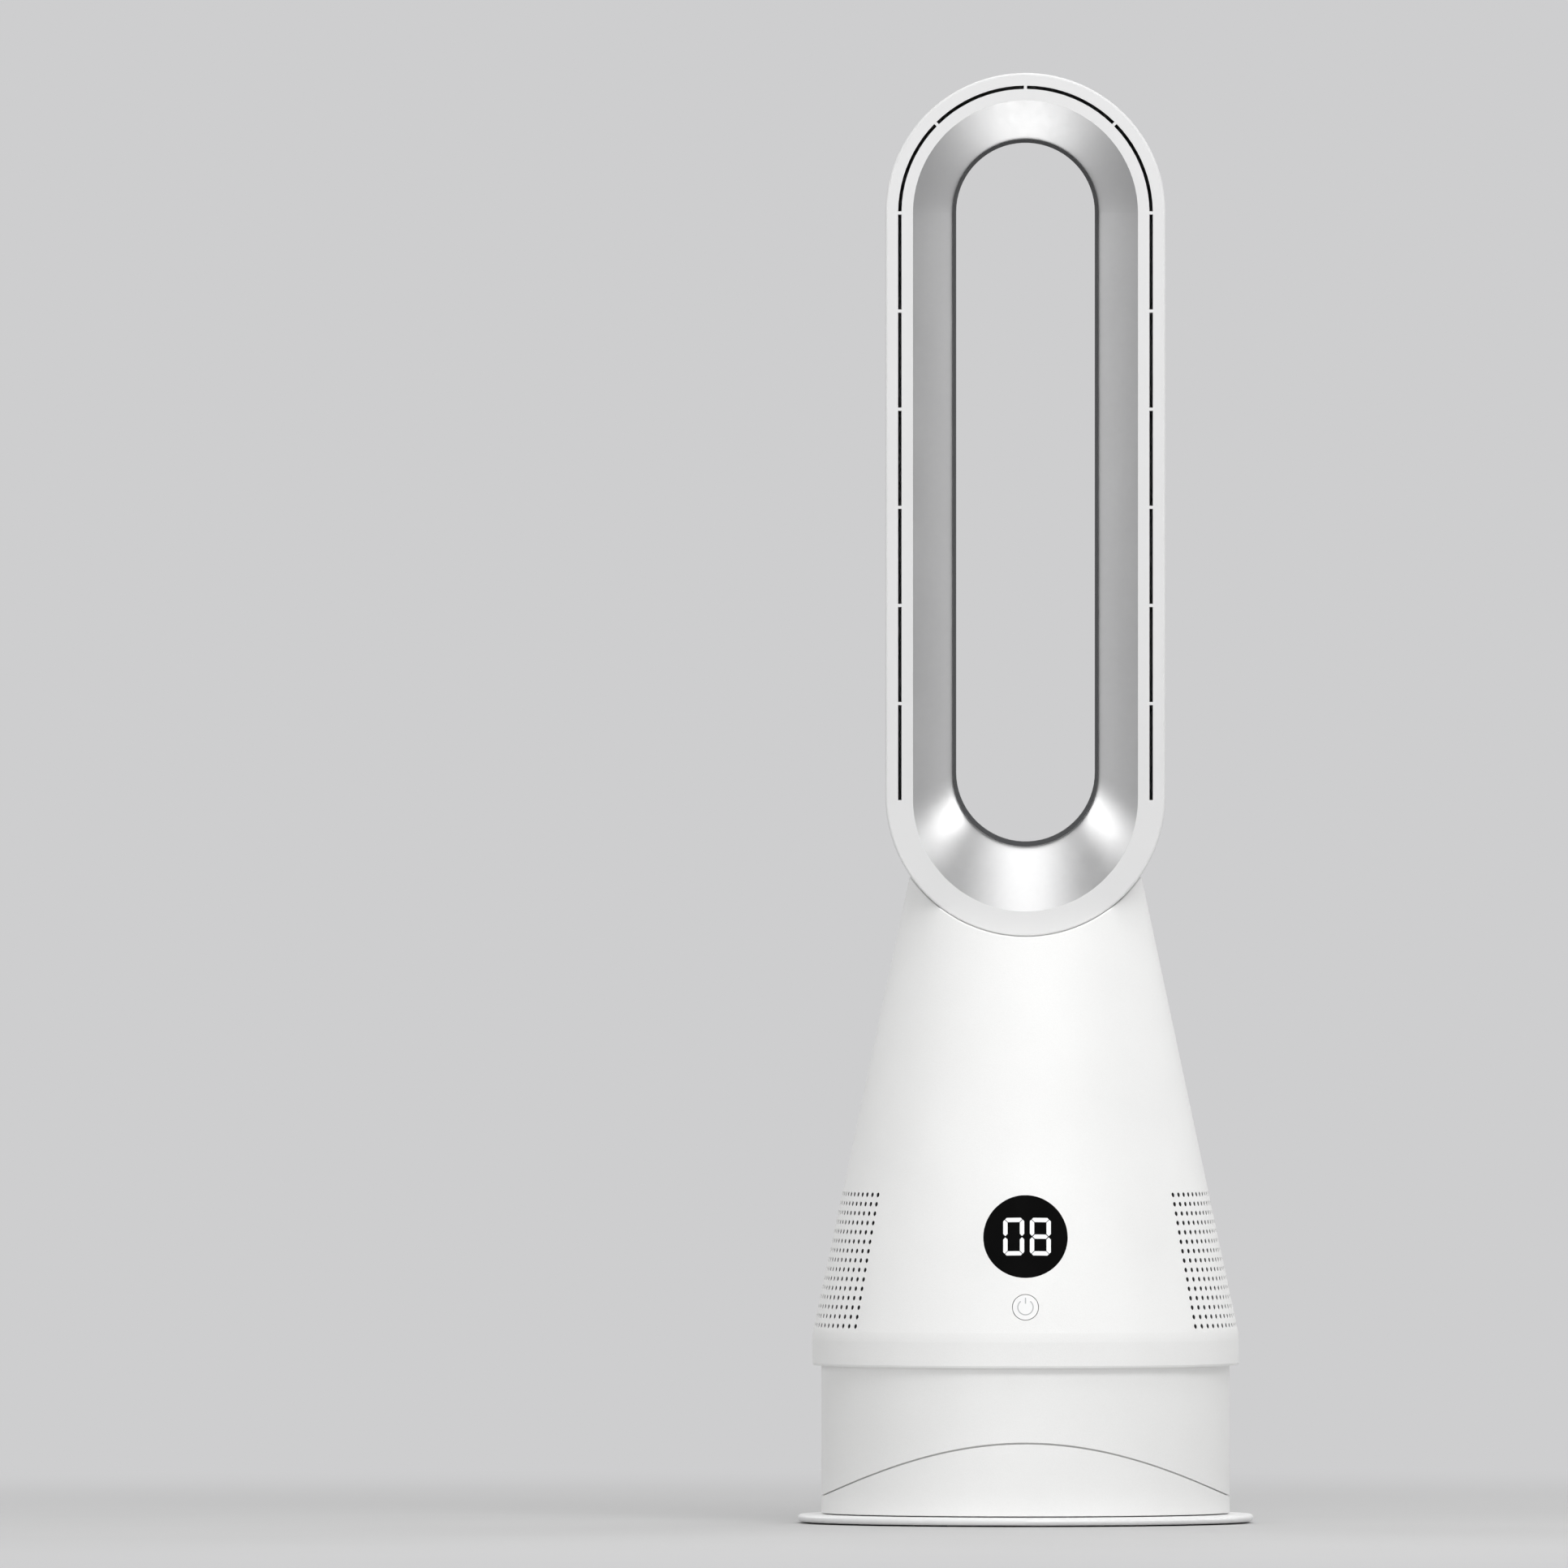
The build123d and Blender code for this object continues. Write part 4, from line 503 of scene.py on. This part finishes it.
floor = bpy.data.objects.new("floor", floor_sheet(floor_half))
bpy.context.scene.collection.objects.link(floor)
wire, place, shader = start_finish("floor_paint")
distance = wire.node("VectorMath", {"operation": "LENGTH"}, {0: place}, output="Value")
fade = {0: distance, 1: fade_from, 2: fade_to, 3: 0.0, 4: 1.0}
far = wire.node("MapRange", {"interpolation_type": "SMOOTHSTEP"}, fade)
speckle = noise(wire, place, 8.0)
feed(shader, Base_Color=blend(wire, speckle, tone(184), tone(188)), Roughness=0.85 + speckle * 0.1)
glow = wire.node("Emission", inputs={"Color": backdrop, "Strength": 1.0})
output = finishes["floor_paint"].node_tree.nodes["Material Output"]
surface = wire.node("MixShader", inputs={0: far, 1: Wire(wire.tree, shader.outputs[0]), 2: glow})
wire.tree.links.new(surface.socket, output.inputs["Surface"])
floor.data.materials.append(finishes["floor_paint"])
print("floor reaches", floor_half, "m each way")

# %% [markdown]
# A dim world fills the shadows. The camera, reflections and looks through clear pieces see the
# backdrop's grey in it, and everything else gets its own dim level, so the grey behind the fan and
# the fill on it can be set apart from each other.

# %% World
ambient = 0.2
world = bpy.data.worlds.new("studio")
bpy.context.scene.world = world
world.use_nodes = True
world.node_tree.nodes.clear()
wire = Wire(world.node_tree)
camera_ray = wire.node("LightPath", output="Is Camera Ray")
glossy_ray = wire.node("LightPath", output="Is Glossy Ray")
clear_ray = wire.node("LightPath", output="Is Transmission Ray")
seen = wire.maths("MAXIMUM", wire.maths("MAXIMUM", camera_ray, glossy_ray), clear_ray)
dim = wire.node("Background", inputs={"Color": tone(255), "Strength": ambient})
pale = wire.node("Background", inputs={"Color": backdrop, "Strength": 1.0})
shown = wire.node("MixShader", inputs={0: seen, 1: dim, 2: pale})
result = world.node_tree.nodes.new("ShaderNodeOutputWorld")
world.node_tree.links.new(shown.socket, result.inputs["Surface"])
print("the world lights with", ambient, "of full white")

# %% [markdown]
# Product pictures of white things need gentle light, or the white burns out and the form goes flat.
# A large soft box in front models the cone from side to side, and a larger one overhead lets every
# overhang drop a soft shadow on the wall below it, as the collar does on the base. The box in front
# hangs just high enough to stay out of the mirror of the display window, and a small one below it
# lights the upright walls of the base. Two weak boxes at the sides lift the edges. Each line gives
# a box's place, the spot that it points at, its width, its height and its power.

# %% Soft boxes
def towards(place, aim):
    """Rotation that points a lamp at a place to a spot."""
    return (Vector(aim) - Vector(place)).to_track_quat("-Z", "Y").to_euler()


def lamp(name, place, rotation, width, height, power):
    """Area lamp that lights the fan and doesn't show in the picture itself."""
    light = bpy.data.lights.new(name, "AREA")
    light.shape = "RECTANGLE"
    light.size, light.size_y = width, height
    light.energy = power
    stand = bpy.data.objects.new(name, light)
    stand.location = place
    stand.rotation_euler = rotation
    stand.visible_camera = False
    bpy.context.scene.collection.objects.link(stand)


soft_boxes = (
    ("front_box", (0.75, -2.8, 2.3), (0, 0, 0.3), 2.4, 1.3, 54),
    ("low_box", (0.1, -3.2, 0.5), (0, 0, 0.2), 2.0, 0.6, 16),
    ("left_box", (-2.6, -1.8, 1.2), (0, 0, 0.3), 1.2, 1.6, 11),
    ("top_box", (0.2, -0.6, 3.2), (0, 0, 0.3), 2.4, 2.4, 45),
    ("side_box", (2.3, 0.2, 0.6), (0, 0, 0.5), 1.0, 1.6, 4),
)
for name, place, aim, width, height, power in soft_boxes:
    lamp(name, place, towards(place, aim), width, height, power)
print(len(soft_boxes), "soft boxes")

# %% [markdown]
# The silver liner is a mirror with a satin face, so it shows what stands behind the fan and not
# what shines on it. Its wall leans in from front to back, and a wall that leans by some angle turns
# the camera's look by twice that angle. A panel at the end of such a look draws one bright band, as
# wide as the panel seems from the ring. Panels of several widths, one close behind another, make a
# band that fades softly. They stand far off, because then all heights of the ring see them in the
# same direction. Only the panels for the top lie near, just above the floor behind the fan, where
# its look ends.

# %% Panels for the liner's bands
liner_depth, liner_inset, liner_rise = 60.3 * mm, 22.0 * mm, 13.2 * mm
ring_low, ring_high = 0.36, 0.76
far_height, floor_length = 4.6, 0.7
band_turns = (-63, 63)
low_panels = (("narrow", 13, 0.24, 8.6), ("middle", 22, 0.47, 8.8), ("wide", 33, 0.73, 9.0))
floor_panels = (
    ("narrow", 9, 0.32, 0.07),
    ("middle", 15.4, 0.46, 0.05),
    ("wide", 24.4, 0.56, 0.03),
    ("faint", 42, 0.34, 0.01),
)
band_panels = (("narrow", 4, 1.6, 8.6), ("middle", 9, 2.1, 8.8))


def far_panel(name, turn, half_angle, radiance, distance):
    """Far panel for the ring's lower arc, at a turn from straight down. Angles are in degrees."""
    angle = math.radians(turn)
    bend = 2 * math.atan((liner_inset + liner_rise * math.cos(angle)) / liner_depth)
    aside = distance * math.sin(bend)
    place = (-aside * math.sin(angle), distance * math.cos(bend), ring_low + aside * math.cos(angle))
    width = 2 * distance * math.tan(math.radians(half_angle))
    power = radiance * math.pi * width * far_height
    lamp(name, place, (bend - math.pi / 2, -angle, 0), width, far_height, power)


def floor_panel(name, half_angle, radiance, height):
    """Panel that faces up just above the floor, for the ring's upper arc. Angles are in degrees."""
    bend = 2 * math.atan(liner_inset / liner_depth)
    place = Vector((0, (ring_high - height) / math.tan(bend), height))
    width = 2 * ring_high / math.sin(bend) * math.tan(math.radians(half_angle))
    power = radiance * math.pi * width * floor_length
    lamp(name, place, towards(place, place + Vector((0, 0, 1))), width, floor_length, power)


for name, half_angle, radiance, distance in low_panels:
    far_panel("low_" + name, 0, half_angle, radiance, distance)
for name, half_angle, radiance, height in floor_panels:
    floor_panel("top_" + name, half_angle, radiance, height)
for turn in band_turns:
    for name, half_angle, radiance, distance in band_panels:
        far_panel(f"band_{turn}_{name}", turn, half_angle, radiance, distance)
far_count = len(low_panels) + len(band_turns) * len(band_panels)
print(far_count, "far panels and", len(floor_panels), "on the floor for the liner")

# %% [markdown]
# The photograph was taken from far away with a long lens, straight on and a little above level, so
# both sides of the fan run parallel and its foot shows as a thin ellipse. Here the camera stands
# about 36 m off, and its field at the fan is as wide as the photograph's frame. The fan stands
# right of the middle, which a small lens shift does without turning the camera.

# %% Camera
field_width = 0.8609
view_reach = 35.87
view_rise = math.radians(0.47)
eye = bpy.data.cameras.new("camera")
eye.sensor_width = 36.0
eye.lens = eye.sensor_width * view_reach / field_width
eye.shift_x = -0.154
eye.clip_start = 1.0
eye.clip_end = 400.0
camera = bpy.data.objects.new("camera", eye)
bpy.context.scene.collection.objects.link(camera)
bpy.context.scene.camera = camera
target = Vector((0, 0, 0.4057))
backwards = Vector((0, -math.cos(view_rise), math.sin(view_rise)))
camera.location = target + view_reach * backwards
camera.rotation_euler = (-backwards).to_track_quat("-Z", "Y").to_euler()
bpy.context.scene.view_settings.view_transform = "Standard"
print("camera stands at", [round(v, 3) for v in camera.location])
